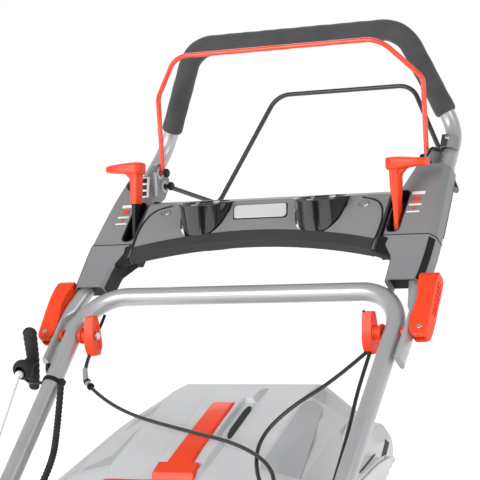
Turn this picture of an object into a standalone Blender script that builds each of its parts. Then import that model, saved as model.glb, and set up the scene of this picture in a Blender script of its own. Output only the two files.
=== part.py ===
"""Walk-behind rotary lawn mower with a folding two-part handle and a rear grass catcher.

Metres, +Z up.  The mower travels towards -Y, the operator walks behind at +Y, and the
origin is on the ground under the middle of the whole machine.  Each sub-part is one
closed solid and one object; a piece that moves has its origin on its joint axis.
"""
import math

import bmesh
import bpy
from mathutils import Matrix, Vector

# --- driving dimensions -------------------------------------------------------------
GAP = 0.0004                 # air between pieces that touch
SEG_WHEEL = 24               # facets round a wheel
SEG_ROUND = 20               # facets round a turned part
SEG_TUBE = 10                # facets round a handle tube

# cutting deck
DECK_MID_Y = -0.3475         # middle of the deck shell
DECK_HALF_LENGTH = 0.3075
DECK_HALF_WIDTH = 0.247
DECK_SKIRT_Z = 0.055         # lower edge of the skirt
DECK_TOP_Z = 0.195
DECK_WALL = 0.003
CRANK_Y = -0.410             # vertical crankshaft, also the blade centre
CRANK_R = 0.0125
BLADE_HALF_LENGTH = 0.232
BLADE_HALF_WIDTH = 0.026
BLADE_Z = 0.064

# wheels
AXLE_R = 0.008
FRONT_AXLE = Vector((0.0, -0.700, 0.100))
FRONT_WHEEL_R = 0.100
FRONT_WHEEL_X = (0.276, 0.318)
REAR_AXLE = Vector((0.0, -0.075, 0.135))
REAR_WHEEL_R = 0.135
REAR_WHEEL_X = (0.276, 0.3225)

# handle: s runs up the handle from the corner of the lower frame, n stands off its face
HANDLE_TILT = math.radians(44.0)
HANDLE_Y = 0.461             # corner of the lower frame
HANDLE_Z = 0.660
LEG_X = 0.2455
LEG_R = 0.0125
LEG_WALL = 0.0012
LEG_BEND = 0.065
FOOT_S = -0.5974             # pivot at the foot of the lower frame
CLAMP_S = -0.0685            # clamp bolts that join the two halves
UPPER_R = 0.011
UPPER_END_X = 0.2662         # flattened end beside the lower leg
UPPER_END_S = -0.117
FOAM_R = 0.0155
FOAM_END_Z = 0.222           # above the lower frame's corner
GRIP_CORNER = Vector((0.168, 0.209, 0.343))   # from the lower frame's corner

# controls, from the lower frame's corner
RED_PIVOT = Vector((0.0, 0.166, 0.163))
BLACK_PIVOT = Vector((0.0, 0.176, 0.143))
BAIL_WIRE_R = 0.0038
BAIL_X = 0.2110               # legs of both bails
BAIL_END_X = 0.2213           # their ends inside the hubs
HUB_X = (0.2160, 0.2240)
LEVER_PIVOT = Vector((0.0, 0.068, 0.050))
LEVER_X = 0.2070
CUP_X = 0.091
CUP_Y = 0.079
CUP_R = 0.0380
CONSOLE_X = 0.1900
CONSOLE_SKIN = 0.003

# grass catcher
FLAP_HINGE = Vector((0.0, 0.0565, 0.3335))
CATCHER_SKIN = 0.003

# --- colours ------------------------------------------------------------------------
PAINT = {
    "deck_grey": ((0.085, 0.09, 0.095, 1.0), 0.45, 0.3),
    "engine_black": ((0.03, 0.03, 0.032, 1.0), 0.5, 0.2),
    "cast_alloy": ((0.55, 0.56, 0.57, 1.0), 0.5, 0.9),
    "steel": ((0.62, 0.62, 0.63, 1.0), 0.35, 1.0),
    "tube_silver": ((0.60, 0.61, 0.63, 1.0), 0.38, 0.85),
    "rubber_black": ((0.02, 0.02, 0.022, 1.0), 0.8, 0.0),
    "foam_grey": ((0.045, 0.045, 0.05, 1.0), 0.9, 0.0),
    "plastic_grey": ((0.12, 0.125, 0.13, 1.0), 0.5, 0.0),
    "plastic_light": ((0.46, 0.47, 0.48, 1.0), 0.5, 0.0),
    "gloss_black": ((0.012, 0.012, 0.013, 1.0), 0.12, 0.0),
    "gloss_red": ((0.80, 0.10, 0.03, 1.0), 0.25, 0.0),
    "coated_black": ((0.02, 0.02, 0.022, 1.0), 0.45, 0.2),
    "rope_white": ((0.75, 0.75, 0.72, 1.0), 0.9, 0.0),
}


def clear_scene():
    for item in list(bpy.data.objects):
        bpy.data.objects.remove(item, do_unlink=True)


def paint(name, colour):
    rgba, rough, metal = PAINT[colour]
    mat = bpy.data.materials.new(name + "_" + colour)
    mat.use_nodes = True
    shader = mat.node_tree.nodes["Principled BSDF"]
    shader.inputs["Base Color"].default_value = rgba
    shader.inputs["Roughness"].default_value = rough
    shader.inputs["Metallic"].default_value = metal
    mat.diffuse_color = rgba
    return mat


# --- shape helpers ------------------------------------------------------------------
def loft(rings, closed=False):
    """Skin through rings of equal count; closed joins the last ring to the first."""
    bm = bmesh.new()
    loops = [[bm.verts.new(p) for p in ring] for ring in rings]
    count = len(loops[0])
    pairs = list(zip(loops, loops[1:]))
    if closed:
        pairs.append((loops[-1], loops[0]))
    for low, high in pairs:
        for i in range(count):
            j = (i + 1) % count
            bm.faces.new((low[i], low[j], high[j], high[i]))
    if not closed:
        bm.faces.new(list(reversed(loops[0])))
        bm.faces.new(loops[-1])
    return bm


def lathe(profile, origin, axis, seg):
    """Turn (radius, height) points about an axis; ends on the axis close by themselves."""
    origin = Vector(origin)
    axis = Vector(axis).normalized()
    side = axis.orthogonal().normalized()
    up = axis.cross(side)
    bm = bmesh.new()
    rows = []
    for radius, height in profile:
        centre = origin + axis * height
        if radius < 1e-7:
            rows.append([bm.verts.new(centre)])
            continue
        row = []
        for i in range(seg):
            a = 2.0 * math.pi * i / seg
            row.append(bm.verts.new(centre + (side * math.cos(a) + up * math.sin(a)) * radius))
        rows.append(row)
    pairs = list(zip(rows, rows[1:]))
    if len(rows[0]) > 1 and len(rows[-1]) > 1:
        pairs.append((rows[-1], rows[0]))
    for low, high in pairs:
        for i in range(seg):
            j = (i + 1) % seg
            if len(low) == 1:
                bm.faces.new((low[0], high[j], high[i]))
            elif len(high) == 1:
                bm.faces.new((low[i], low[j], high[0]))
            else:
                bm.faces.new((low[i], low[j], high[j], high[i]))
    return bm


def prism(outline, low, high, axis="x"):
    """Extrude a flat outline from low to high along an axis."""
    place = {
        "x": lambda a, b, h: Vector((h, a, b)),
        "y": lambda a, b, h: Vector((a, h, b)),
        "z": lambda a, b, h: Vector((a, b, h)),
    }[axis]
    return loft([[place(a, b, h) for a, b in outline] for h in (low, high)])


def block(low, high):
    """Plain box between two corners."""
    outline = [(low[0], low[1]), (high[0], low[1]), (high[0], high[1]), (low[0], high[1])]
    return prism(outline, low[2], high[2], "z")


def fillet(points, radii, steps=5):
    """Round the inner corners of a polyline."""
    out = [Vector(points[0])]
    for i in range(1, len(points) - 1):
        here = Vector(points[i])
        back = (Vector(points[i - 1]) - here)
        ahead = (Vector(points[i + 1]) - here)
        radius = radii[i - 1]
        if radius <= 0.0:
            out.append(here)
            continue
        back.normalize()
        ahead.normalize()
        half = back.angle(ahead) / 2.0
        reach = radius / math.tan(half)
        centre = here + (back + ahead).normalized() * (radius / math.sin(half))
        start = here + back * reach - centre
        end = here + ahead * reach - centre
        turn = start.angle(end)
        for k in range(steps + 1):
            f = k / steps
            a = math.sin((1.0 - f) * turn) / math.sin(turn)
            b = math.sin(f * turn) / math.sin(turn)
            out.append(centre + start * a + end * b)
    out.append(Vector(points[-1]))
    return out


def sections(path, side_hint, sizes, seg):
    """Rings of an ellipse carried along a path; sizes gives (side, up) at each point."""
    side = Vector(side_hint)
    rings = []
    for i, point in enumerate(path):
        before = path[max(i - 1, 0)]
        after = path[min(i + 1, len(path) - 1)]
        incoming = (point - before).normalized() if i > 0 else (after - point).normalized()
        outgoing = (after - point).normalized() if i < len(path) - 1 else incoming
        tangent = (incoming + outgoing).normalized()
        side = (side - tangent * side.dot(tangent)).normalized()
        up = tangent.cross(side)
        a, b = sizes[i]
        ring = []
        for k in range(seg):
            angle = 2.0 * math.pi * (k + 0.5) / seg
            ring.append(point + side * (a * math.cos(angle)) + up * (b * math.sin(angle)))
        rings.append(ring)
    return rings


def rod(path, radius, seg=8, side=(1.0, 0.0, 0.0)):
    """Solid round bar along a path."""
    path = [Vector(p) for p in path]
    return loft(sections(path, side, [(radius, radius)] * len(path), seg))


def pipe(path, outer, inner, seg=SEG_TUBE, side=(1.0, 0.0, 0.0)):
    """Open-ended tube along a path; outer and inner list (side, up) radii per point."""
    path = [Vector(p) for p in path]
    outside = sections(path, side, outer, seg)
    inside = sections(path, side, inner, seg)
    return loft(outside + inside[::-1], closed=True)


def mirrored(bm):
    """The same solid on the other side of the machine."""
    twin = bm.copy()
    bmesh.ops.transform(twin, matrix=Matrix.Scale(-1.0, 4, (1.0, 0.0, 0.0)), verts=twin.verts)
    return twin


def handle(x, s, n):
    """A point given along (s) and off (n) the slope of the handle."""
    c = math.cos(HANDLE_TILT)
    d = math.sin(HANDLE_TILT)
    return Vector((x, HANDLE_Y + s * c - n * d, HANDLE_Z + s * d + n * c))


def corner(x, y, z):
    """A point given from the corner of the lower frame."""
    return Vector((x, HANDLE_Y + y, HANDLE_Z + z))


def at_corner(vector):
    return corner(vector.x, vector.y, vector.z)


SLOPE = (handle(0.0, 1.0, 0.0) - handle(0.0, 0.0, 0.0)).normalized()
NORMAL = (handle(0.0, 0.0, 1.0) - handle(0.0, 0.0, 0.0)).normalized()


# --- objects ------------------------------------------------------------------------
def raw_object(name, bm):
    bmesh.ops.remove_doubles(bm, verts=bm.verts, dist=1e-6)
    bmesh.ops.recalc_face_normals(bm, faces=bm.faces)
    mesh = bpy.data.meshes.new(name)
    bm.to_mesh(mesh)
    bm.free()
    item = bpy.data.objects.new(name, mesh)
    bpy.context.collection.objects.link(item)
    return item


def add(name, bm, colour, joined=(), cuts=(), pivot=None, smooth=True):
    """One finished sub-part: base solid, solids joined to it, solids cut from it."""
    item = raw_object(name, bm)
    tools = [(raw_object("tool", tool), "UNION") for tool in joined]
    tools += [(raw_object("tool", tool), "DIFFERENCE") for tool in cuts]
    for tool, operation in tools:
        step = item.modifiers.new("shape", "BOOLEAN")
        step.operation = operation
        step.solver = "EXACT"
        step.object = tool
    if tools:
        bpy.context.view_layer.update()
        graph = bpy.context.evaluated_depsgraph_get()
        shaped = bpy.data.meshes.new_from_object(item.evaluated_get(graph))
        item.modifiers.clear()
        item.data = shaped
        for tool, _operation in tools:
            bpy.data.objects.remove(tool, do_unlink=True)
    item.data.name = name
    item.data.materials.clear()
    item.data.materials.append(paint(name, colour))
    if pivot is not None:
        item.data.transform(Matrix.Translation(-Vector(pivot)))
        item.location = Vector(pivot)
    if smooth:
        item.data.shade_smooth()
        item.data.set_sharp_from_angle(angle=math.radians(32.0))
    return item


def both_sides(name, make, colour, cuts=(), joined=(), pivot=None):
    """A left and a right copy; make() returns the +X side's solid."""
    for suffix, flip in (("l", False), ("r", True)):
        turn = mirrored if flip else (lambda bm: bm)
        point = None
        if pivot is not None:
            point = Vector(pivot)
            point.x = -point.x if flip else point.x
        add(
            name + "_" + suffix,
            turn(make()),
            colour,
            joined=[turn(tool()) for tool in joined],
            cuts=[turn(tool()) for tool in cuts],
            pivot=point,
        )


# --- deck ---------------------------------------------------------------------------
def deck_ring(inset, z, count=40):
    """Squared oval outline of the deck, drawn in by inset."""
    half_x = DECK_HALF_WIDTH - inset
    half_y = DECK_HALF_LENGTH - inset
    power = 2.0 / 7.0
    ring = []
    for i in range(count):
        a = 2.0 * math.pi * (i + 0.5) / count
        c = math.cos(a)
        d = math.sin(a)
        x = math.copysign(abs(c) ** power, c) * half_x
        y = math.copysign(abs(d) ** power, d) * half_y
        ring.append(Vector((x, DECK_MID_Y + y, z)))
    return ring


def round_ring(radius, z, count=40):
    ring = []
    for i in range(count):
        a = 2.0 * math.pi * (i + 0.5) / count
        ring.append(Vector((radius * math.cos(a), CRANK_Y + radius * math.sin(a), z)))
    return ring


def build_deck():
    top = DECK_TOP_Z
    wall = DECK_WALL
    rings = [
        deck_ring(0.0, DECK_SKIRT_Z),
        deck_ring(0.0, top - 0.028),
        deck_ring(0.003, top - 0.007),
        deck_ring(0.010, top),
        round_ring(0.040, top),
        round_ring(0.040, top - wall),
        deck_ring(0.011, top - wall),
        deck_ring(0.003 + wall, top - 0.009),
        deck_ring(wall, top - 0.029),
        deck_ring(wall, DECK_SKIRT_Z),
    ]
    chute_hole = block((-0.135, -0.178, top - 0.02), (0.135, -0.075, top + 0.02))
    axle_way = lathe([(0.0, -0.3), (AXLE_R + GAP, -0.3), (AXLE_R + GAP, 0.3), (0.0, 0.3)],
                     REAR_AXLE, (1.0, 0.0, 0.0), 16)
    add("deck_shell", loft(rings, closed=True), "deck_grey", cuts=[chute_hole, axle_way])

    # tunnel that lifts the clippings from the deck's top to the catcher
    skin = 0.003
    half = 0.155
    base = top + GAP
    outer = [(-0.208, base), (-0.195, base + 0.018), (0.050, 0.327), (0.050, 0.176),
             (-0.0385, 0.176), (-0.0385, base), (-0.0600, base)]
    inner = [(-0.204, 0.150), (-0.204, base + 0.001), (-0.1925, base + 0.0155),
             (0.060, 0.3275), (0.060, 0.179), (-0.0355, 0.179), (-0.0355, base + 0.003),
             (-0.0630, base + 0.003), (-0.0630, 0.150)]
    add("discharge_tunnel", prism(outer, -half, half), "deck_grey",
        cuts=[prism(inner, -half + skin, half - skin)], smooth=False)

    # cover over the front axle, with the axle's bushes in its side walls
    profile = [(-0.6565, 0.060), (-0.6565, 0.172), (-0.700, 0.178), (-0.780, 0.150),
               (-0.8154, 0.105), (-0.8154, 0.078), (-0.808, 0.070)]
    hollow = [(-0.650, 0.040), (-0.650, 0.168), (-0.700, 0.174), (-0.778, 0.1462),
              (-0.8114, 0.103), (-0.8114, 0.082), (-0.804, 0.040)]
    bore = lathe([(0.0, -0.3), (AXLE_R + GAP, -0.3), (AXLE_R + GAP, 0.3), (0.0, 0.3)],
                 FRONT_AXLE, (1.0, 0.0, 0.0), 16)
    add("front_apron", prism(profile, -0.215, 0.215), "deck_grey",
        cuts=[prism(hollow, -0.205, 0.205), bore], smooth=False)


def wheel(name, axle, x_range, radius):
    """Tyre and hub of the +X wheel; the hub runs on the plain end of the axle."""
    inner, outer = x_range
    width = outer - inner
    rim = radius * 0.80
    tread = radius * 0.97
    for suffix, flip in (("l", 1.0), ("r", -1.0)):
        axis = (flip, 0.0, 0.0)
        tyre = [(rim + GAP, inner + 0.004), (tread * 0.985, inner), (radius, inner + width * 0.25),
                (radius, outer - width * 0.25), (tread * 0.985, outer - 0.001),
                (rim + GAP, outer - 0.004)]
        add("tyre_" + name + "_" + suffix, lathe(tyre, axle, axis, SEG_WHEEL),
            "rubber_black", pivot=axle)
        bore = AXLE_R / math.cos(math.pi / SEG_WHEEL) + 0.00006
        hub = [(0.0, outer), (radius * 0.20, outer), (radius * 0.26, outer - 0.010),
               (radius * 0.66, outer - 0.014), (rim, outer - 0.005), (rim, inner + 0.005),
               (radius * 0.66, inner + 0.012), (radius * 0.24, inner + 0.008),
               (radius * 0.18, inner + GAP), (bore, inner + GAP), (bore, outer - 0.008),
               (0.0, outer - 0.008)]
        add("hub_" + name + "_" + suffix, lathe(hub, axle, axis, SEG_WHEEL),
            "plastic_light", pivot=axle)


def build_wheels():
    wheel("front", FRONT_AXLE, FRONT_WHEEL_X, FRONT_WHEEL_R)
    wheel("rear", REAR_AXLE, REAR_WHEEL_X, REAR_WHEEL_R)
    for name, axle, x_range in (("front_axle", FRONT_AXLE, FRONT_WHEEL_X),
                                ("rear_axle", REAR_AXLE, REAR_WHEEL_X)):
        reach = x_range[1] - 0.009
        profile = [(0.0, -reach), (AXLE_R, -reach), (AXLE_R, reach), (0.0, reach)]
        add(name, lathe(profile, axle, (1.0, 0.0, 0.0), SEG_WHEEL), "steel")


# --- engine and drive -----------------------------------------------------------------
def build_engine():
    top = DECK_TOP_Z
    centre = Vector((0.0, CRANK_Y, 0.0))
    up = (0.0, 0.0, 1.0)
    bore = CRANK_R / math.cos(math.pi / SEG_ROUND) + 0.00006
    crankcase = [(bore, top + GAP), (0.092, top + GAP), (0.092, top + 0.012),
                 (0.070, top + 0.020), (0.070, 0.300), (0.060, 0.308), (bore, 0.308)]
    barrel = block((-0.046, CRANK_Y - 0.150, 0.215), (0.046, CRANK_Y - 0.060, 0.295))
    fins = []
    for k in range(5):
        y = CRANK_Y - 0.096 - 0.012 * k
        fins.append(block((-0.058, y - 0.0025, 0.206), (0.058, y + 0.0025, 0.303)))
    add("engine_block", lathe(crankcase, centre, up, SEG_ROUND), "cast_alloy",
        joined=[barrel] + fins)

    # crankshaft with its flywheel
    shaft = [(0.0, 0.078), (CRANK_R, 0.078), (CRANK_R, 0.322), (0.088, 0.322),
             (0.088, 0.346), (0.022, 0.350), (0.018, 0.368), (0.0, 0.368)]
    add("crankshaft", lathe(shaft, centre, up, SEG_ROUND), "steel", pivot=centre + Vector((0, 0, 0.2)))

    shroud = [(0.0, 0.408), (0.046, 0.406), (0.104, 0.392), (0.124, 0.366), (0.126, 0.312),
              (0.123, 0.312), (0.121, 0.364), (0.102, 0.388), (0.046, 0.402), (0.0, 0.404)]
    add("engine_shroud", lathe(shroud, centre, up, 24), "engine_black")

    tank = [(-0.085, -0.248), (0.060, -0.248), (0.085, -0.262), (0.098, -0.302),
            (0.070, -0.283), (0.0, -0.272), (-0.070, -0.283), (-0.098, -0.302), (-0.100, -0.262)]
    add("fuel_tank", prism(tank, 0.255, 0.352, "z"), "engine_black")
    cap = [(0.0, 0.3524), (0.020, 0.3524), (0.020, 0.366), (0.017, 0.369), (0.0, 0.369)]
    add("fuel_cap", lathe(cap, (0.030, -0.262, 0.0), up, SEG_ROUND), "gloss_red",
        pivot=(0.030, -0.262, 0.360))

    muffler = prism([(0.070, -0.560), (0.118, -0.560), (0.128, -0.545), (0.128, -0.455),
                     (0.118, -0.440), (0.085, -0.440), (0.070, -0.480)], 0.212, 0.300, "z")
    add("muffler", muffler, "engine_black")
    cleaner = prism([(-0.130, -0.540), (-0.072, -0.540), (-0.072, -0.480), (-0.085, -0.445),
                     (-0.130, -0.445), (-0.140, -0.460), (-0.140, -0.525)], 0.215, 0.305, "z")
    add("air_filter_cover", cleaner, "engine_black")
    dipstick = [(0.0, top + 0.0190), (0.0048, top + 0.0190), (0.0048, 0.252), (0.0115, 0.252),
                (0.0115, 0.262), (0.0, 0.264)]
    add("oil_cap", lathe(dipstick, (-0.0800, CRANK_Y + 0.024, 0.0), up, 14), "gloss_black",
        pivot=(-0.0800, CRANK_Y + 0.024, 0.255))

    # blade, the boss that carries it, and its bolt
    boss = [(0.0056, 0.0665), (0.030, 0.0665), (0.030, 0.073), (0.020, 0.078), (0.020, 0.152),
            (0.026, 0.152), (0.026, 0.1545), (0.020, 0.1580), (0.020, 0.1640), (0.026, 0.1675),
            (0.026, 0.170), (0.0129, 0.170), (0.0129, 0.0776), (0.0056, 0.0776)]
    add("blade_boss", lathe(boss, centre, up, SEG_ROUND), "cast_alloy",
        pivot=centre + Vector((0, 0, 0.09)))
    reach = BLADE_HALF_LENGTH
    half = BLADE_HALF_WIDTH
    bar = prism([(-reach, -half), (reach - 0.012, -half), (reach, -half + 0.012),
                 (reach, half), (-reach + 0.012, half), (-reach, half - 0.012)],
                BLADE_Z - 0.002, BLADE_Z + 0.002, "z")
    bmesh.ops.translate(bar, verts=bar.verts, vec=centre)
    sails = []
    for sign in (1.0, -1.0):
        outline = [(half - 0.010, BLADE_Z - 0.0015), (half + 0.0, BLADE_Z - 0.0015),
                   (half + 0.006, BLADE_Z + 0.014), (half + 0.003, BLADE_Z + 0.015),
                   (half - 0.004, BLADE_Z + 0.0015), (half - 0.010, BLADE_Z + 0.0015)]
        outline = [(CRANK_Y + sign * a, b) for a, b in outline]
        low, high = sorted((-sign * (reach - 0.014), -sign * (reach - 0.085)))
        sails.append(prism(outline, low, high, "x"))
    hole = lathe([(0.0, 0.05), (0.0056, 0.05), (0.0056, 0.08), (0.0, 0.08)], centre, up, SEG_ROUND)
    add("blade", bar, "steel", joined=sails, cuts=[hole], pivot=centre + Vector((0, 0, BLADE_Z)))
    bolt = [(0.0, 0.0530), (0.012, 0.0530), (0.012, 0.0612), (0.0050, 0.0616), (0.0050, 0.0770),
            (0.0, 0.0770)]
    add("blade_bolt", lathe(bolt, centre, up, 12), "steel", pivot=centre + Vector((0, 0, 0.06)))

    # belt drive to the rear axle's gearbox
    box_y = -0.100
    stub = 0.006
    wheel_profile = [(stub + 0.0004, 0.152), (0.036, 0.152), (0.036, 0.1545), (0.030, 0.1580),
                     (0.030, 0.1640), (0.036, 0.1675), (0.036, 0.170), (stub + 0.0004, 0.170)]
    add("gearbox_pulley", lathe(wheel_profile, (0.0, box_y, 0.0), up, SEG_ROUND), "steel",
        pivot=(0.0, box_y, 0.16))
    belt = []
    inner = []
    near, far = 0.0206, 0.0306
    for ring, grow in ((belt, 0.006), (inner, 0.0)):
        for k in range(9):
            a = math.pi + math.pi * k / 8.0
            ring.append((math.cos(a) * (near + grow), CRANK_Y + math.sin(a) * (near + grow)))
        for k in range(9):
            a = math.pi * k / 8.0
            ring.append((math.cos(a) * (far + grow), box_y + math.sin(a) * (far + grow)))
    rows = []
    for ring, z in ((belt, 0.1645), (belt, 0.1575), (inner, 0.1590), (inner, 0.1630)):
        rows.append([Vector((x, y, z)) for x, y in ring])
    add("drive_belt", loft(rows, closed=True), "rubber_black")
    case = prism([(-0.125, 0.105), (-0.058, 0.105), (-0.048, 0.115), (-0.048, 0.1495),
                  (-0.132, 0.1495), (-0.132, 0.115)], -0.034, 0.034)
    stub_shaft = lathe([(0.0, 0.140), (stub, 0.140), (stub, 0.172), (0.0, 0.172)],
                       (0.0, box_y, 0.0), up, SEG_ROUND)
    axle_hole = lathe([(0.0, -0.05), (AXLE_R + GAP, -0.05), (AXLE_R + GAP, 0.05), (0.0, 0.05)],
                      REAR_AXLE, (1.0, 0.0, 0.0), 16)
    add("gearbox", case, "cast_alloy", joined=[stub_shaft], cuts=[axle_hole])


# --- chassis fittings -----------------------------------------------------------------
def build_chassis_fittings():
    foot = handle(0.0, FOOT_S, 0.0)
    y, z = foot.y, foot.z
    plate = [(-0.230, DECK_TOP_Z + GAP), (-0.110, DECK_TOP_Z + GAP), (-0.030, 0.206),
             (y + 0.012, z - 0.022), (y + 0.024, z - 0.006), (y + 0.022, z + 0.012),
             (y + 0.006, z + 0.022), (y - 0.015, z + 0.018), (-0.110, 0.226), (-0.220, 0.206)]

    def bracket():
        return prism(plate, 0.2245, 0.2325)

    def bolt_hole():
        return lathe([(0.0, 0.20), (0.0044, 0.20), (0.0044, 0.29), (0.0, 0.29)],
                     (0.0, y, z), (1.0, 0.0, 0.0), 12)

    both_sides("deck_bracket", bracket, "deck_grey", cuts=[bolt_hole])

    def knob():
        profile = [(0.0, 0.2250), (0.0040, 0.2250), (0.0040, 0.2588), (0.0150, 0.2588),
                   (0.0150, 0.2700), (0.0110, 0.2730), (0.0, 0.2730)]
        return lathe(profile, (0.0, y, z), (1.0, 0.0, 0.0), 12)

    both_sides("foot_bolt", knob, "gloss_black")

    # cutting-height lever beside the right rear wheel, on a stud of the tunnel's side
    pivot = Vector((0.170, -0.150, 0.225))
    hub = lathe([(0.0, -0.006), (0.012, -0.006), (0.012, 0.006), (0.0, 0.006)],
                pivot, (1.0, 0.0, 0.0), 14)
    stalk = rod([pivot + Vector((0.0, 0.004, 0.004)), pivot + Vector((0.0, 0.020, 0.070)),
                 pivot + Vector((0.0, 0.034, 0.118))], 0.0055, 8)
    grip = lathe([(0.0, 0.0), (0.010, 0.004), (0.013, 0.030), (0.010, 0.056), (0.0, 0.060)],
                 pivot + Vector((0.0, 0.031, 0.108)), (0.0, 0.28, 0.96), 12)
    add("height_lever", hub, "gloss_red", joined=[stalk, grip], pivot=pivot)

    # discharge flap, held up by the catcher's sloping front
    rise = math.radians(36.0)
    along = Vector((0.0, math.cos(rise), math.sin(rise)))
    off = Vector((0.0, -math.sin(rise), math.cos(rise)))
    outline = []
    for a, b in ((-0.004, -0.004), (0.012, -0.0030), (0.150, -0.0030), (0.150, 0.0010),
                 (0.012, 0.0010), (0.004, 0.0050), (-0.004, 0.0040)):
        p = FLAP_HINGE + along * a + off * b
        outline.append((p.y, p.z))
    pin_hole = lathe([(0.0, -0.2), (0.0030, -0.2), (0.0030, 0.2), (0.0, 0.2)], FLAP_HINGE,
                     (1.0, 0.0, 0.0), 10)
    add("rear_flap", prism(outline, -0.160, 0.160), "plastic_grey", cuts=[pin_hole],
        pivot=FLAP_HINGE)
    pin = [(0.0, -0.1720), (0.0026, -0.1720), (0.0026, 0.1720), (0.0, 0.1720)]
    lugs = []
    for sign in (1.0, -1.0):
        low, high = sorted((sign * 0.1630, sign * 0.1690))
        lugs.append(prism([(0.026, 0.290), (0.049, 0.290), (0.062, 0.328), (0.062, 0.339),
                           (0.052, 0.340)], low, high))
    add("flap_pin", lathe(pin, FLAP_HINGE, (1.0, 0.0, 0.0), 10), "steel", joined=lugs)


# --- handle ---------------------------------------------------------------------------
def build_lower_frame():
    path = fillet([handle(-LEG_X, FOOT_S - 0.020, 0.0), handle(-LEG_X, 0.0, 0.0),
                   handle(LEG_X, 0.0, 0.0), handle(LEG_X, FOOT_S - 0.020, 0.0)],
                  [LEG_BEND, LEG_BEND], 6)
    outer = [(LEG_R, LEG_R)] * len(path)
    inner = [(LEG_R - LEG_WALL, LEG_R - LEG_WALL)] * len(path)
    holes = []
    for s, radius in ((FOOT_S, 0.0044), (CLAMP_S, 0.0034)):
        centre = handle(0.0, s, 0.0)
        holes.append(lathe([(0.0, -0.28), (radius, -0.28), (radius, 0.28), (0.0, 0.28)],
                           centre, (1.0, 0.0, 0.0), 12))
    add("lower_frame", pipe(path, outer, inner, side=(1.0, 0.0, 0.0)), "tube_silver",
        cuts=holes, pivot=handle(0.0, FOOT_S, 0.0))


def upper_path():
    """Centreline of the upper handle from one flattened end round to the other."""
    grip = GRIP_CORNER
    right = [handle(UPPER_END_X, UPPER_END_S, 0.0), handle(UPPER_END_X, -0.030, 0.0),
             handle(0.2540, 0.022, -0.001), handle(0.2340, 0.294, -0.012),
             corner(grip.x, grip.y, grip.z)]
    radii = [0.060, 0.060, 0.050, 0.048]
    return fillet([Vector((-p.x, p.y, p.z)) for p in right] + right[::-1],
                  radii + radii[::-1], 4)


def build_upper_handle():
    path = upper_path()
    outer = []
    inner = []
    flat_top = handle(0.0, -0.025, 0.0).z
    for point in path:
        if point.z < flat_top:
            outer.append((0.0070, 0.0135))
            inner.append((0.0058, 0.0123))
        else:
            outer.append((UPPER_R, UPPER_R))
            inner.append((UPPER_R - 0.0012, UPPER_R - 0.0012))
    clamp = handle(0.0, CLAMP_S, 0.0)
    hole = lathe([(0.0, -0.30), (0.0034, -0.30), (0.0034, 0.30), (0.0, 0.30)], clamp,
                 (1.0, 0.0, 0.0), 12)
    add("upper_handle", pipe(path, outer, inner, side=(1.0, 0.0, 0.0)), "tube_silver",
        cuts=[hole], pivot=clamp)

    # foam sleeve over the grip loop
    level = HANDLE_Z + FOAM_END_Z
    sleeve = [p for p in path if p.z > level + 0.012]
    ends = []
    for a, b in zip(path, path[1:]):
        if (a.z - level) * (b.z - level) < 0.0:
            ends.append(a.lerp(b, (level - a.z) / (b.z - a.z)))
    sleeve = [ends[0]] + sleeve + [ends[1]]
    outer = [(FOAM_R, FOAM_R)] * len(sleeve)
    bore = UPPER_R / math.cos(math.pi / SEG_TUBE) + GAP
    inner = [(bore, bore)] * len(sleeve)
    add("foam_grip", pipe(sleeve, outer, inner, side=(1.0, 0.0, 0.0)), "foam_grey")


def build_clamps():
    centre = handle(0.0, CLAMP_S, 0.0)
    axis = (1.0, 0.0, 0.0)

    def pad():
        outline = [(centre.y + a, centre.z + b) for a, b in
                   ((-0.0075, -0.0270), (0.0060, -0.0270), (0.0130, -0.0150), (0.0115, 0.0020),
                    (0.0080, 0.0200), (0.0055, 0.0270), (-0.0055, 0.0270), (-0.0085, 0.0180),
                    (-0.0115, 0.0000), (-0.0125, -0.0140))]
        return prism(outline, 0.2060, 0.2195)

    def neck():
        profile = [(0.0, 0.2180), (0.0085, 0.2180), (0.0085, 0.2300), (0.0, 0.2300)]
        return lathe(profile, centre, axis, 16)

    def bolt():
        profile = [(0.0, 0.2150), (0.0030, 0.2150), (0.0030, 0.2900), (0.0, 0.2900)]
        return lathe(profile, centre, axis, 12)

    both_sides("clamp_pad", pad, "gloss_red", joined=[neck, bolt])

    # cam lever: fork and paddle that lie up along the tube when it is clamped
    pin = handle(0.2860, CLAMP_S, 0.004)

    def lever():
        stations = ((-0.0100, 0.2835, 0.2890, -0.008, 0.010),
                    (-0.0070, 0.2788, 0.2930, -0.008, 0.010),
                    (0.000, 0.2757, 0.2945, -0.008, 0.012),
                    (0.020, 0.2765, 0.2950, -0.006, 0.014), (0.042, 0.2795, 0.2955, -0.003, 0.018),
                    (0.066, 0.2815, 0.2960, -0.002, 0.020), (0.084, 0.2825, 0.2955, 0.000, 0.019))
        rows = []
        for s, low, high, under, over in stations:
            rows.append([handle(low, CLAMP_S + s, under), handle(high, CLAMP_S + s, under),
                         handle(high, CLAMP_S + s, over), handle(low, CLAMP_S + s, over)])
        return loft(rows)

    def lever_slot():
        return loft([[handle(x, CLAMP_S + s, n) for x, s in
                      ((0.2700, -0.020), (0.2925, -0.020), (0.2925, 0.009), (0.2700, 0.009))]
                     for n in (-0.0036, 0.0036)])

    both_sides("cam_lever", lever, "gloss_red", cuts=[lever_slot], pivot=pin)


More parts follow.
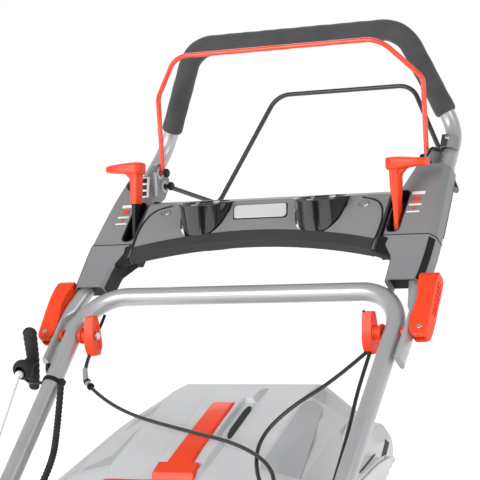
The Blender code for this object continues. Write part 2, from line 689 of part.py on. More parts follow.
# --- console and controls -------------------------------------------------------------
def console_profile(x, offset):
    """Side view of the console's skin at x: (y, z) pairs, drawn in by offset."""
    drop = 0.022 * (abs(x) / CONSOLE_X) ** 2
    low = (0.036 - drop * 0.72, 0.070 - drop * 0.78)
    points = [(low[0] + 0.009, low[1] - 0.010), low, (0.086, 0.1185), (0.091, 0.1220),
              (0.1305, 0.1220), (0.1360, 0.1170), (0.1360, 0.0820)]
    if offset == 0.0:
        return points
    shifted = []
    for i, point in enumerate(points):
        here = Vector(point)
        before = Vector(points[max(i - 1, 0)])
        after = Vector(points[min(i + 1, len(points) - 1)])
        normals = []
        for a, b in ((before, here), (here, after)):
            if (b - a).length > 1e-9:
                d = (b - a).normalized()
                normals.append(Vector((d.y, -d.x)))
        total = sum(normals, Vector((0.0, 0.0)))
        total.normalize()
        scale = 1.0 / max(total.dot(normals[0]), 0.5)
        moved = here + total * offset * scale
        shifted.append((moved.x, moved.y))
    return shifted


def build_console():
    rows = []
    steps = 10
    for k in range(steps + 1):
        x = -CONSOLE_X + 2.0 * CONSOLE_X * k / steps
        strip = console_profile(x, 0.0) + console_profile(x, CONSOLE_SKIN)[::-1]
        rows.append([corner(x, y, z) for y, z in strip])
    holes = []
    for sign in (1.0, -1.0):
        profile = [(0.0, 0.60), (CUP_R + 0.0006, 0.60), (CUP_R + 0.0006, 0.82), (0.0, 0.82)]
        holes.append(lathe(profile, (sign * CUP_X, HANDLE_Y + CUP_Y, 0.0), (0.0, 0.0, 1.0), 28))
    add("console", loft(rows), "plastic_grey", cuts=holes)

    def cup():
        base = HANDLE_Z + 0.056
        rim = HANDLE_Z + 0.1225
        profile = [(0.0, base), (0.031, base), (0.034, base + 0.006), (CUP_R, rim),
                   (CUP_R - 0.002, rim), (0.032, base + 0.007), (0.030, base + 0.002),
                   (0.0, base + 0.002)]
        return lathe(profile, (CUP_X, HANDLE_Y + CUP_Y, 0.0), (0.0, 0.0, 1.0), 28)

    both_sides("cup", cup, "gloss_black")

    # side housings: a channel over each tube, open on its under side
    stations = ((0.006, 0.2290, 0.2735, 0.0180), (0.018, 0.2140, 0.2740, 0.0180),
                (0.045, 0.2080, 0.2740, 0.0185), (0.075, 0.1920, 0.2720, 0.0200),
                (0.130, 0.1920, 0.2670, 0.0215), (0.160, 0.1970, 0.2640, 0.0220),
                (0.205, 0.2070, 0.2590, 0.0200))
    skin = 0.0025

    def housing():
        rows = []
        for s, low, high, rise in stations:
            outer = [(low, -0.0130), (low, rise - 0.005), (low + 0.005, rise),
                     (high - 0.009, rise), (high - 0.001, rise - 0.009), (high, -0.0050)]
            inner = [(high - skin, -0.0050), (high - skin - 0.001, rise - 0.010),
                     (high - 0.010, rise - skin), (low + 0.006, rise - skin),
                     (low + skin, rise - 0.006), (low + skin, -0.0130)]
            rows.append([handle(x, s, n) for x, n in outer + inner])
        return loft(rows)

    def slot():
        return loft([[handle(x, s, n) for x, s in ((0.2010, 0.088), (0.2130, 0.088),
                                                   (0.2130, 0.152), (0.2010, 0.152))]
                     for n in (0.005, 0.035)])

    # hubs that carry both bails, inboard of the tube at the housing's top
    def hub():
        outline = []
        for s, n in ((0.1850, -0.020), (0.2120, -0.032), (0.2380, -0.030), (0.2500, -0.012),
                     (0.2480, 0.008), (0.2350, 0.0170), (0.1850, 0.0190)):
            p = handle(0.0, s, n)
            outline.append((p.y, p.z))
        return prism(outline, HUB_X[0], HUB_X[1])

    def red_bore():
        return lathe([(0.0, 0.205), (0.0045, 0.205), (0.0045, 0.2235), (0.0, 0.2235)],
                     at_corner(RED_PIVOT), (1.0, 0.0, 0.0), 12)

    def black_bore():
        return lathe([(0.0, 0.205), (0.0045, 0.205), (0.0045, 0.2235), (0.0, 0.2235)],
                     at_corner(BLACK_PIVOT), (1.0, 0.0, 0.0), 12)

    both_sides("side_housing", housing, "plastic_grey", cuts=[slot, red_bore, black_bore],
               joined=[hub])


def mirror_points(points):
    """Full path of a bow from its right half, ending on the left."""
    return [Vector(p) for p in points] + [Vector((-p[0], p[1], p[2])) for p in reversed(points)]


def build_controls():
    pivot = RED_PIVOT
    x = BAIL_X
    right = [corner(BAIL_END_X, pivot.y, pivot.z), corner(x, pivot.y, pivot.z),
             corner(x + 0.001, 0.170, 0.273), corner(0.162, 0.144, 0.330)]
    path = fillet(mirror_points(right), [0.004, 0.020, 0.045, 0.045, 0.020, 0.004], 4)
    add("red_bail", rod(path, BAIL_WIRE_R, 8, (0.0, 1.0, 0.0)), "gloss_red",
        pivot=at_corner(pivot))

    pivot = BLACK_PIVOT
    right = [corner(BAIL_END_X, pivot.y, pivot.z), corner(x, pivot.y, pivot.z),
             corner(0.197, 0.296, 0.107), corner(0.112, 0.351, 0.264)]
    path = fillet(mirror_points(right), [0.0045, 0.012, 0.035, 0.035, 0.012, 0.0045], 4)
    add("black_bail", rod(path, 0.0035, 8, (0.0, 1.0, 0.0)), "coated_black",
        pivot=at_corner(pivot))

    # throttle and drive-speed levers, T-shaped, one in each housing slot
    for suffix, sign, top in (("l", 1.0, (0.073, 0.162)), ("r", -1.0, (0.088, 0.174))):
        base = corner(sign * LEVER_X, LEVER_PIVOT.y, LEVER_PIVOT.z)
        head = corner(sign * LEVER_X, top[0], top[1])
        lean = (head - base).normalized()
        across = lean.cross(Vector((1.0, 0.0, 0.0))).normalized()
        half = 0.0035
        rows = []
        for point, wide in ((base - lean * 0.006, 0.006), (base + lean * 0.050, 0.007),
                            (head - lean * 0.010, 0.009), (head, 0.010)):
            rows.append([point + Vector((dx * half, 0.0, 0.0)) + across * (da * wide)
                         for dx, da in ((-1, -1), (1, -1), (1, 1), (-1, 1))])
        stem = loft(rows)
        knob_rows = []
        for dx, wide, tall in ((-0.008, 0.009, 0.005), (0.0, 0.012, 0.008), (0.020, 0.013, 0.008),
                               (0.044, 0.010, 0.006)):
            middle = head + Vector((sign * dx, 0.0, 0.0))
            knob_rows.append([middle + across * (da * wide) + lean * (dl * tall)
                              for da, dl in ((-1, -1), (1, -1), (1, 1), (-1, 1))])
        add("control_lever_" + suffix, stem, "gloss_red", joined=[loft(knob_rows)], pivot=base)


# --- starter rope and control cables ----------------------------------------------------
def build_lines():
    guide = handle(-0.3100, -0.130, 0.004)
    ring = [(0.0048, -0.007), (0.0100, -0.007), (0.0120, 0.0), (0.0100, 0.007), (0.0048, 0.007)]
    arm = loft([[handle(x, s, n) for x, s in ((-0.3010, -0.134), (-0.2584, -0.134),
                                              (-0.2584, -0.126), (-0.3010, -0.126))]
                for n in (-0.003, 0.004)])
    pull = Vector((0.0, 0.93, 0.37)).normalized()
    upright = Vector((0.0, -0.37, 0.93)).normalized()
    add("rope_guide", lathe(ring, guide, pull, 14), "rubber_black", joined=[arm])
    seat = guide + pull * 0.0088
    grip_profile = [(0.0, 0.0), (0.0070, 0.0), (0.0085, 0.006), (0.0085, 0.014), (0.0, 0.016)]
    bar = rod([seat + pull * 0.0160 - upright * 0.0500, seat + pull * 0.0190,
               seat + pull * 0.0160 + upright * 0.0500], 0.0095, 10)
    add("starter_grip", lathe(grip_profile, seat, pull, 12), "rubber_black", joined=[bar],
        pivot=seat)

    def line(name, points, radius, colour, seg=6):
        path = fillet([Vector(p) for p in points], [0.03] * (len(points) - 2), 3)
        add(name, rod(path, radius, seg), colour)

    engine_y = CRANK_Y - HANDLE_Y
    start = guide - pull * 0.0085
    line("starter_rope", [start, corner(-0.292, -0.150, -0.135), corner(-0.262, -0.260, -0.212),
                          corner(-0.200, -0.480, -0.262), corner(-0.1262, engine_y, -0.284)],
         0.0020, "rope_white")
    line("wiring_conduit", [corner(-0.2260, -0.116, -0.106), corner(-0.2060, -0.160, -0.155),
                            corner(-0.1900, -0.205, -0.203), corner(-0.1850, -0.330, -0.286),
                            corner(-0.1780, -0.430, -0.360), corner(-0.1750, -0.620, -0.425),
                            corner(-0.1650, -0.700, -0.440), corner(-0.1200, -0.780, -0.440)],
         0.0045, "rubber_black", 8)
    line("brake_cable", [corner(-0.2170, -0.062, -0.078), corner(-0.190, -0.090, -0.108),
                         corner(-0.120, -0.125, -0.142), corner(-0.020, -0.160, -0.155),
                         corner(0.105, -0.200, -0.168), corner(0.172, -0.240, -0.198),
                         corner(0.176, -0.310, -0.250), corner(0.1760, -0.440, -0.298),
                         corner(0.150, -0.570, -0.318),
                         corner(0.1180, -0.780, -0.3300)],
         0.0026, "coated_black")
    line("throttle_cable", [corner(0.2120, -0.064, -0.076), corner(0.178, -0.092, -0.103),
                            corner(0.136, -0.135, -0.130), corner(0.114, -0.180, -0.160),
                            corner(0.126, -0.222, -0.192), corner(0.1690, -0.268, -0.230),
                            corner(0.1690, -0.440, -0.312), corner(0.140, -0.560, -0.335),
                            corner(0.088, -0.690, -0.345)],
         0.0026, "coated_black")
    line("drive_cable", [corner(0.2150, -0.070, -0.082), corner(0.2150, -0.100, -0.112),
                         corner(0.2205, -0.140, -0.152), corner(0.2262, -0.200, -0.205),
                         corner(0.2262, -0.320, -0.330), corner(0.200, -0.425, -0.425),
                         corner(0.175, -0.530, -0.461)],
         0.0026, "coated_black")


# --- grass catcher ------------------------------------------------------------------
def catcher_ring(y, widths, heights):
    """Faceted cross-section: floor, side, shoulder and top, from the right round."""
    floor_x, side_x, top_x = widths
    floor_z, shoulder_z, top_z = heights
    half = [(top_x, top_z), ((top_x + side_x) * 0.5 + 0.006, (top_z + shoulder_z) * 0.5 + 0.006),
            (side_x, shoulder_z), (side_x - 0.002, (shoulder_z + floor_z) * 0.5),
            (floor_x, floor_z + 0.012), (floor_x - 0.014, floor_z)]
    right = [Vector((x, y, z)) for x, z in half]
    left = [Vector((-x, y, z)) for x, z in reversed(half)]
    return right + left


def build_catcher():
    front = 0.0620
    stations = [
        (front, (0.150, 0.156, 0.140), (0.186, 0.296, 0.3180)),
        (0.150, (0.195, 0.205, 0.120), (0.140, 0.330, 0.3780)),
        (0.266, (0.200, 0.219, 0.108), (0.118, 0.420, 0.4560)),
        (0.390, (0.200, 0.219, 0.104), (0.112, 0.450, 0.5130)),
        (0.430, (0.200, 0.216, 0.104), (0.112, 0.452, 0.5290)),
        (0.470, (0.192, 0.204, 0.102), (0.114, 0.446, 0.5365)),
        (0.500, (0.180, 0.190, 0.096), (0.118, 0.436, 0.5310)),
        (0.550, (0.148, 0.158, 0.082), (0.130, 0.420, 0.4860)),
        (0.600, (0.118, 0.130, 0.064), (0.150, 0.396, 0.4360)),
    ]
    # the lid and the tub meet along the shoulder, 0.4 mm apart
    lid_points = (9, 10, 11, 0, 1, 2)
    tub_points = (2, 3, 4, 5, 6, 7, 8, 9)

    def shell(numbers, shift):
        rows = []
        for y, widths, heights in stations:
            outer = catcher_ring(y, widths, heights)
            slim = [w - CATCHER_SKIN for w in widths]
            low = (heights[0] + CATCHER_SKIN, heights[1] - 0.0015, heights[2] - CATCHER_SKIN)
            inner = catcher_ring(y, slim, low)
            for ring in (outer, inner):
                for index in (2, 9):
                    ring[index].z += shift
            rows.append([outer[i] for i in numbers] + [inner[i] for i in reversed(numbers)])
        return loft(rows)

    def back_plate(numbers, shift):
        y, widths, heights = stations[-1]
        slim = [w - 0.0012 for w in widths]
        rows = []
        for depth in (0.0036, 0.0005):
            ring = catcher_ring(y - depth, slim, (heights[0] + 0.0012, heights[1],
                                                  heights[2] - 0.0012))
            for index in (2, 9):
                ring[index].z += shift
            rows.append([ring[i] for i in numbers])
        return loft(rows)

    add("catcher_lid", shell(lid_points, 0.0), "plastic_light", smooth=False,
        joined=[back_plate(lid_points, 0.0003)])
    add("catcher", shell(tub_points, -0.0004), "plastic_light", smooth=False,
        joined=[back_plate(tub_points, -0.0021)])

    # carrying handle along the catcher's crown, with its cross band at the front
    strip = []
    for y, z, half, tall in ((0.262, 0.4570, 0.0195, 0.009), (0.300, 0.4745, 0.019, 0.009),
                             (0.350, 0.4975, 0.018, 0.009), (0.396, 0.5180, 0.017, 0.006)):
        strip.append([Vector((-half, y, z)), Vector((half, y, z)),
                      Vector((half * 0.9, y - 0.004, z + tall)),
                      Vector((-half * 0.9, y - 0.004, z + tall))])
    add("catcher_handle", loft(strip), "gloss_red")


def main():
    clear_scene()
    build_deck()
    build_wheels()
    build_engine()
    build_chassis_fittings()
    build_lower_frame()
    build_upper_handle()
    build_clamps()
    build_console()
    build_controls()
    build_lines()
    build_catcher()


main()
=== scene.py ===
import math

import bmesh
import bpy
from mathutils import Matrix, Vector


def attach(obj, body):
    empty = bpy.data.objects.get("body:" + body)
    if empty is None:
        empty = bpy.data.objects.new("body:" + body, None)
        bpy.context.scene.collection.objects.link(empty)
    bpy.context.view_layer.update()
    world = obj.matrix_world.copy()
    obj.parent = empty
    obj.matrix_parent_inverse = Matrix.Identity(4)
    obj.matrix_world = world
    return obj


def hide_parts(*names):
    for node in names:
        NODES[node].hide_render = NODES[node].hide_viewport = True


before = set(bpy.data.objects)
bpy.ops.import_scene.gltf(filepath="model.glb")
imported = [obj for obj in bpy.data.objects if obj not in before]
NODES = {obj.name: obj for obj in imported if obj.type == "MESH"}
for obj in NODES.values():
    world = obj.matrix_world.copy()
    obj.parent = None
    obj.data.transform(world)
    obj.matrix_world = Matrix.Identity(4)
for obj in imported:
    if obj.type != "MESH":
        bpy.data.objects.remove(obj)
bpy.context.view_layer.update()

X_AXIS = Vector((1.0, 0.0, 0.0))
UP = Vector((0.0, 0.0, 1.0))

# --- sizes and places in metres, on the same frame as the CAD ----------------------------
HANDLE_TILT = math.radians(44.0)
HANDLE_Y, HANDLE_Z = 0.461, 0.66
LEG_X, LEG_R, LEG_BEND, FOOT_S, CLAMP_S = 0.2455, 0.0125, 0.065, -0.5974, -0.0685
UPPER_R, UPPER_END_X, UPPER_END_S = 0.011, 0.2662, -0.117
FOAM_R, FOAM_END_Z = 0.0155, 0.222
GRIP_CORNER = Vector((0.168, 0.209, 0.343))
RED_PIVOT = Vector((0.0, 0.166, 0.163))
BLACK_PIVOT = Vector((0.0, 0.176, 0.143))
BAIL_X, BAIL_END_X = 0.211, 0.2213
CONSOLE_X, CONSOLE_SKIN = 0.19, 0.003
CUP_X, CUP_Y, CUP_R = 0.091, 0.079, 0.038
LEVER_X = 0.207
LEVER_PIVOT = Vector((0.0, 0.068, 0.05))
CRANK_Y = -0.41
DECK_TOP_Z = 0.195
FLAP_HINGE = Vector((0.0, 0.0565, 0.3335))
FLAP_SLOPE = math.radians(36.0)
FRONT_WHEEL_Y, FRONT_WHEEL_R = -0.7, 0.1
REAR_WHEEL_Y, REAR_WHEEL_R = -0.075, 0.135
FUEL_CAP_X, FUEL_CAP_Y = 0.03, -0.262
SIDES = ((1.0, "l"), (-1.0, "r"))

# --- numbers of the camera and the floor ---------------------------------------------------
LENS, SENSOR = 156.8, 36.0
CAMERA_PLACE = Vector((1.39, -1.979, 0.92))
YAW, PITCH, ROLL = math.radians(29.6), math.radians(3.8), math.radians(4.3)
FLOOR_RADIUS, FLOOR_Z, FLOOR_GLOW = 60.0, -0.0005, 0.6


def handle(x, s, n):
    """A point along (s) and off (n) the slope of the handle."""
    c, d = math.cos(HANDLE_TILT), math.sin(HANDLE_TILT)
    return Vector((x, HANDLE_Y + s * c - n * d, HANDLE_Z + s * d + n * c))


def corner(x, y, z):
    return Vector((x, HANDLE_Y + y, HANDLE_Z + z))


def route(*places):
    return [corner(*place) for place in places]


SLOPE = (handle(0, 1, 0) - handle(0, 0, 0)).normalized()
NORMAL = (handle(0, 0, 1) - handle(0, 0, 0)).normalized()


# --- camera, light and floor ------------------------------------------------------------
def set_camera():
    ahead = Vector((-math.sin(YAW) * math.cos(PITCH), math.cos(YAW) * math.cos(PITCH),
                    -math.sin(PITCH)))
    level = Vector((math.cos(YAW), math.sin(YAW), 0.0))
    above = level.cross(ahead)
    right = level * math.cos(ROLL) - above * math.sin(ROLL)
    top = level * math.sin(ROLL) + above * math.cos(ROLL)
    data = bpy.data.cameras.new("camera")
    data.lens = LENS
    data.sensor_width = SENSOR
    data.clip_end = 200.0
    cam = bpy.data.objects.new("camera", data)
    bpy.context.collection.objects.link(cam)
    place = Matrix((right, top, -ahead)).transposed().to_4x4()
    place.translation = CAMERA_PLACE
    cam.matrix_world = place
    bpy.context.scene.camera = cam


def add_light(name, place, target, size, power):
    data = bpy.data.lights.new(name, "AREA")
    data.shape = "RECTANGLE"
    data.size, data.size_y = size
    data.energy = power
    lamp = bpy.data.objects.new(name, data)
    bpy.context.collection.objects.link(lamp)
    lamp.location = place
    lamp.rotation_euler = (Vector(target) - Vector(place)).to_track_quat("-Z", "Y").to_euler()


def set_stage():
    """White surroundings, three soft lamps and a pale floor that glows a little."""
    world = bpy.data.worlds.new("studio")
    world.use_nodes = True
    back = world.node_tree.nodes["Background"]
    back.inputs["Color"].default_value = (1.0, 1.0, 1.0, 1.0)
    # bright at the horizon, dimmer overhead
    nodes, links = world.node_tree.nodes, world.node_tree.links
    coord = nodes.new("ShaderNodeTexCoord")
    split = nodes.new("ShaderNodeSeparateXYZ")
    fade = nodes.new("ShaderNodeMapRange")
    fade.interpolation_type = "SMOOTHSTEP"
    for socket, value in (("From Min", 0.13), ("From Max", 0.5), ("To Min", 1.0),
                          ("To Max", 0.46)):
        fade.inputs[socket].default_value = value
    links.new(coord.outputs["Generated"], split.inputs[0])
    links.new(split.outputs["Z"], fade.inputs["Value"])
    links.new(fade.outputs["Result"], back.inputs["Strength"])
    bpy.context.scene.world = world
    bpy.context.scene.view_settings.view_transform = "Standard"
    middle = (0.0, 0.3, 0.7)
    add_light("key", (-1.5, -3.0, 1.9), middle, (2.2, 1.6), 105.0)
    add_light("side", (2.9, -0.4, 1.7), middle, (1.0, 2.0), 26.0)
    add_light("back", (-1.2, 3.2, 2.6), middle, (2.0, 1.2), 26.0)
    bm = bmesh.new()
    bmesh.ops.create_circle(bm, cap_ends=True, radius=FLOOR_RADIUS, segments=64)
    mesh = bpy.data.meshes.new("floor")
    bm.to_mesh(mesh)
    bm.free()
    floor = bpy.data.objects.new("floor", mesh)
    bpy.context.collection.objects.link(floor)
    floor.location.z = FLOOR_Z
    pale = surface("floor_pale", (0.82, 0.82, 0.82), 0.9, mottle=(1.5, 0.005),
                   grain=(60.0, 0.0003, 0.2))
    # the floor's emission is painted light: the floor glows as a lamp from below onto the mower
    for node in pale.node_tree.nodes:
        if node.type == "BSDF_PRINCIPLED":
            node.inputs["Emission Color"].default_value = (1.0, 1.0, 1.0, 1.0)
            node.inputs["Emission Strength"].default_value = FLOOR_GLOW
    mesh.materials.append(pale)


# --- materials ----------------------------------------------------------------------------
MATERIALS = {}


def surface(name, colour, rough, metal=0.0, coat=0.0, mottle=(9.0, 0.06),
            grain=(1500.0, 0.00004, 0.3), rough_var=0.05, stretch=None, cells=None,
            specular=0.5, sheen=0.0):
    """Procedural finish: blotchy colour, varied roughness and a fine bumped grain."""
    mat = bpy.data.materials.new(name)
    mat.use_nodes = True
    nodes, links = mat.node_tree.nodes, mat.node_tree.links
    shader = nodes["Principled BSDF"]
    shader.inputs["Metallic"].default_value = metal
    shader.inputs["Specular IOR Level"].default_value = specular
    if coat:
        shader.inputs["Coat Weight"].default_value = coat
        shader.inputs["Coat Roughness"].default_value = 0.08
    if sheen:
        shader.inputs["Sheen Weight"].default_value = sheen
        shader.inputs["Sheen Roughness"].default_value = 0.5

    def noise(scale, detail, vector):
        node = nodes.new("ShaderNodeTexNoise")
        node.inputs["Scale"].default_value = scale
        node.inputs["Detail"].default_value = detail
        links.new(vector, node.inputs["Vector"])
        return node.outputs["Fac"]

    def maths(operation, first, second):
        node = nodes.new("ShaderNodeMath")
        node.operation = operation
        for socket, value in zip(node.inputs, (first, second)):
            if isinstance(value, float):
                socket.default_value = value
            else:
                links.new(value, socket)
        return node.outputs["Value"]

    coords = nodes.new("ShaderNodeTexCoord")
    source = coords.outputs["Object"]
    if stretch is not None:
        mapping = nodes.new("ShaderNodeMapping")
        mapping.inputs["Scale"].default_value = stretch
        links.new(source, mapping.inputs["Vector"])
        fine_source = mapping.outputs["Vector"]
    else:
        fine_source = source
    blotch = noise(mottle[0], 5.0, source)
    fine = noise(grain[0], 3.0, fine_source)
    height = fine
    if cells is not None:
        pores = nodes.new("ShaderNodeTexVoronoi")
        pores.inputs["Scale"].default_value = cells
        links.new(source, pores.inputs["Vector"])
        height = maths("MULTIPLY", pores.outputs["Distance"], fine)
    ramp = nodes.new("ShaderNodeValToRGB")
    amount = mottle[1]
    ramp.color_ramp.elements[0].position = 0.3
    ramp.color_ramp.elements[1].position = 0.7
    ramp.color_ramp.elements[0].color = tuple(c * (1.0 - amount) for c in colour) + (1.0,)
    ramp.color_ramp.elements[1].color = tuple(min(c * (1.0 + amount), 1.0)
                                              for c in colour) + (1.0,)
    blend = maths("ADD", maths("MULTIPLY", fine, 0.35), maths("MULTIPLY", blotch, 0.65))
    links.new(blend, ramp.inputs["Fac"])
    links.new(ramp.outputs["Color"], shader.inputs["Base Color"])
    spread = nodes.new("ShaderNodeMapRange")
    spread.inputs["To Min"].default_value = max(rough - rough_var, 0.02)
    spread.inputs["To Max"].default_value = min(rough + rough_var, 1.0)
    links.new(blotch, spread.inputs["Value"])
    links.new(spread.outputs["Result"], shader.inputs["Roughness"])
    bump = nodes.new("ShaderNodeBump")
    bump.inputs["Distance"].default_value = grain[1]
    bump.inputs["Strength"].default_value = grain[2]
    links.new(height, bump.inputs["Height"])
    links.new(bump.outputs["Normal"], shader.inputs["Normal"])
    mat.diffuse_color = tuple(colour) + (1.0,)
    return mat


def make_materials():
    m = MATERIALS
    m["tube"] = surface("tube_satin", (0.44, 0.445, 0.455), 0.34, metal=0.5, mottle=(14.0, 0.05),
                        grain=(900.0, 0.00003, 0.35), rough_var=0.06)
    m["foam"] = surface("foam_grain", (0.058, 0.058, 0.062), 0.88, mottle=(30.0, 0.22),
                        grain=(1100.0, 0.0006, 0.9), cells=900.0, specular=0.25, sheen=0.15)
    m["grey"] = surface("plastic_texture", (0.212, 0.216, 0.222), 0.46, mottle=(12.0, 0.05),
                        grain=(1700.0, 0.00008, 0.5), specular=0.4)
    m["dark_grey"] = surface("plastic_dark", (0.036, 0.037, 0.039), 0.5, mottle=(12.0, 0.06),
                             grain=(1700.0, 0.00008, 0.5), specular=0.3)
    m["light"] = surface("plastic_light", (0.53, 0.54, 0.55), 0.48, mottle=(7.0, 0.03),
                         grain=(1300.0, 0.0001, 0.5))
    # darker copy of the pale plastic: painted shade for the steep catcher facets
    m["shade"] = surface("plastic_painted_shade", (0.4, 0.41, 0.42), 0.5, mottle=(7.0, 0.03),
                         grain=(1300.0, 0.0001, 0.5))
    m["gloss_black"] = surface("gloss_black", (0.01, 0.01, 0.011), 0.1, coat=0.6,
                               mottle=(20.0, 0.1), grain=(300.0, 0.00002, 0.1), rough_var=0.03)
    m["black"] = surface("black_moulding", (0.01, 0.01, 0.011), 0.45, mottle=(15.0, 0.12),
                         grain=(1500.0, 0.00008, 0.5), specular=0.22)
    m["rubber"] = surface("rubber_matte", (0.022, 0.022, 0.023), 0.78, mottle=(18.0, 0.18),
                          grain=(900.0, 0.0002, 0.5), specular=0.3)
    m["tyre"] = surface("tyre_rubber", (0.024, 0.024, 0.025), 0.85, mottle=(11.0, 0.2),
                        grain=(650.0, 0.0003, 0.6), specular=0.3)
    m["red"] = surface("red_gloss", (0.8, 0.05, 0.01), 0.42, coat=0.08, mottle=(16.0, 0.05),
                       grain=(500.0, 0.00003, 0.2), specular=0.28)
    m["wire_red"] = surface("red_coated_wire", (0.74, 0.05, 0.012), 0.3, coat=0.4,
                            mottle=(25.0, 0.08), grain=(700.0, 0.00005, 0.3))
    m["wire_black"] = surface("black_coated_wire", (0.018, 0.018, 0.019), 0.34, coat=0.2,
                              mottle=(25.0, 0.1), grain=(700.0, 0.00006, 0.4))
    m["steel"] = surface("zinc_steel", (0.6, 0.6, 0.61), 0.33, metal=1.0, mottle=(25.0, 0.08),
                         grain=(500.0, 0.00005, 0.4), stretch=(1.0, 1.0, 6.0))
    m["brushed"] = surface("brushed_plate", (0.72, 0.73, 0.74), 0.3, metal=0.35,
                           mottle=(20.0, 0.04), grain=(260.0, 0.00004, 0.5),
                           stretch=(1.0, 14.0, 14.0))
    m["alloy"] = surface("cast_alloy", (0.47, 0.48, 0.49), 0.52, metal=0.9, mottle=(22.0, 0.12),
                         grain=(420.0, 0.0003, 0.6))
    m["deck"] = surface("deck_powder_coat", (0.075, 0.079, 0.084), 0.42, metal=0.2,
                        mottle=(8.0, 0.1), grain=(600.0, 0.00015, 0.5))
    m["engine"] = surface("engine_black", (0.022, 0.022, 0.024), 0.38, mottle=(12.0, 0.12),
                          grain=(900.0, 0.0001, 0.5))
    m["heat"] = surface("heatproof_black", (0.03, 0.028, 0.027), 0.6, metal=0.5,
                        mottle=(18.0, 0.25), grain=(500.0, 0.0002, 0.7))
    m["rope"] = surface("rope_braid", (0.74, 0.74, 0.71), 0.85, mottle=(300.0, 0.18),
                        grain=(900.0, 0.0004, 0.9), sheen=0.3)
    m["white"] = surface("label_white", (0.8, 0.8, 0.79), 0.4, mottle=(10.0, 0.02),
                         grain=(700.0, 0.00002, 0.2))
    m["clear"] = surface("sleeve_smoke", (0.3, 0.31, 0.32), 0.22, coat=0.5, mottle=(30.0, 0.15),
                         grain=(600.0, 0.00003, 0.3))


# --- shape helpers ------------------------------------------------------------------------
def around(count, shift=0.0):
    """Cosine and sine of evenly spaced angles round one turn."""
    angles = [2.0 * math.pi * (k + shift) / count for k in range(count)]
    return [(math.cos(a), math.sin(a)) for a in angles]


def blunt(value, power):
    """Signed power: makes a rounded square's outline out of a circle's."""
    return math.copysign(abs(value) ** power, value)


def ease(f):
    return f * f * (3.0 - 2.0 * f)


def sided(points, sign):
    """The points, mirrored across the middle where sign is negative."""
    return [Vector((p.x * sign, p.y, p.z)) for p in points]


def wedge(x, y, z_low, z_high, wide, narrow, y_high=None):
    """Cross section of a rib that narrows upwards, as four corners."""
    back = y if y_high is None else y_high
    return [Vector((x - wide, y, z_low)), Vector((x + wide, y, z_low)),
            Vector((x + narrow, back, z_high)), Vector((x - narrow, back, z_high))]


def loft(rings, closed=False, caps=True):
    bm = bmesh.new()
    loops = [[bm.verts.new(p) for p in ring] for ring in rings]
    count = len(loops[0])
    pairs = list(zip(loops, loops[1:]))
    if closed:
        pairs.append((loops[-1], loops[0]))
    for low, high in pairs:
        for i in range(count):
            j = (i + 1) % count
            bm.faces.new((low[i], low[j], high[j], high[i]))
    if caps and not closed:
        bm.faces.new(list(reversed(loops[0])))
        bm.faces.new(loops[-1])
    return bm


def lathe(profile, origin, axis, seg=48, wobble=None):
    """Turn (radius, height) points about an axis; wobble(angle, radius) may reshape it."""
    origin = Vector(origin)
    axis = Vector(axis).normalized()
    side = axis.orthogonal().normalized()
    if abs(axis.x) > 0.99:
        side = Vector((0.0, 1.0, 0.0))
    up = axis.cross(side)
    bm = bmesh.new()
    rows = []
    for radius, height in profile:
        centre = origin + axis * height
        if radius < 1e-7:
            rows.append([bm.verts.new(centre)])
            continue
        row = []
        for i in range(seg):
            a = 2.0 * math.pi * i / seg
            r = radius if wobble is None else wobble(a, radius)
            row.append(bm.verts.new(centre + (side * math.cos(a) + up * math.sin(a)) * r))
        rows.append(row)
    pairs = list(zip(rows, rows[1:]))
    if len(rows[0]) > 1 and len(rows[-1]) > 1:
        pairs.append((rows[-1], rows[0]))
    for low, high in pairs:
        for i in range(seg):
            j = (i + 1) % seg
            if len(low) == 1:
                bm.faces.new((low[0], high[j], high[i]))
            elif len(high) == 1:
                bm.faces.new((low[i], low[j], high[0]))
            else:
                bm.faces.new((low[i], low[j], high[j], high[i]))
    return bm


def disc(radius, low, high, origin, axis, seg=48):
    return lathe([(0.0, low), (radius, low), (radius, high), (0.0, high)], origin, axis, seg)


def hoop(inner, outer, low, high, origin, axis, seg=36):
    return lathe([(inner, low), (outer, low), (outer, high), (inner, high)], origin, axis, seg)


def prism(outline, low, high, axis="x"):
    place = {"x": lambda a, b, h: Vector((h, a, b)),
             "y": lambda a, b, h: Vector((a, h, b)),
             "z": lambda a, b, h: Vector((a, b, h))}[axis]
    return loft([[place(a, b, h) for a, b in outline] for h in (low, high)])


def box(centre, right, up, size):
    """Block with its middle at centre; right and up are its first and third directions."""
    right, up = Vector(right).normalized(), Vector(up).normalized()
    deep = up.cross(right)
    a, b, c = (v * 0.5 for v in size)
    rows = []
    for h in (-c, c):
        rows.append([Vector(centre) + right * (i * a) + deep * (j * b) + up * h
                     for i, j in ((-1, -1), (1, -1), (1, 1), (-1, 1))])
    return loft(rows)


def merge(parts):
    """Several closed shells in one mesh."""
    bm = bmesh.new()
    for part in parts:
        mesh = bpy.data.meshes.new("part")
        part.to_mesh(mesh)
        part.free()
        bm.from_mesh(mesh)
        bpy.data.meshes.remove(mesh)
    return bm


def mirrored(bm):
    bmesh.ops.transform(bm, matrix=Matrix.Scale(-1.0, 4, X_AXIS), verts=bm.verts)
    return bm


def fillet(points, radii, steps=10):
    out = [Vector(points[0])]
    for i in range(1, len(points) - 1):
        here = Vector(points[i])
        back = (Vector(points[i - 1]) - here).normalized()
        ahead = (Vector(points[i + 1]) - here).normalized()
        radius = radii[i - 1]
        if radius <= 0.0:
            out.append(here)
            continue
        half = back.angle(ahead) / 2.0
        reach = radius / math.tan(half)
        centre = here + (back + ahead).normalized() * (radius / math.sin(half))
        start = here + back * reach - centre
        end = here + ahead * reach - centre
        turn = start.angle(end)
        for k in range(steps + 1):
            f = k / steps
            a = math.sin((1.0 - f) * turn) / math.sin(turn)
            b = math.sin(f * turn) / math.sin(turn)
            out.append(centre + start * a + end * b)
    out.append(Vector(points[-1]))
    return out


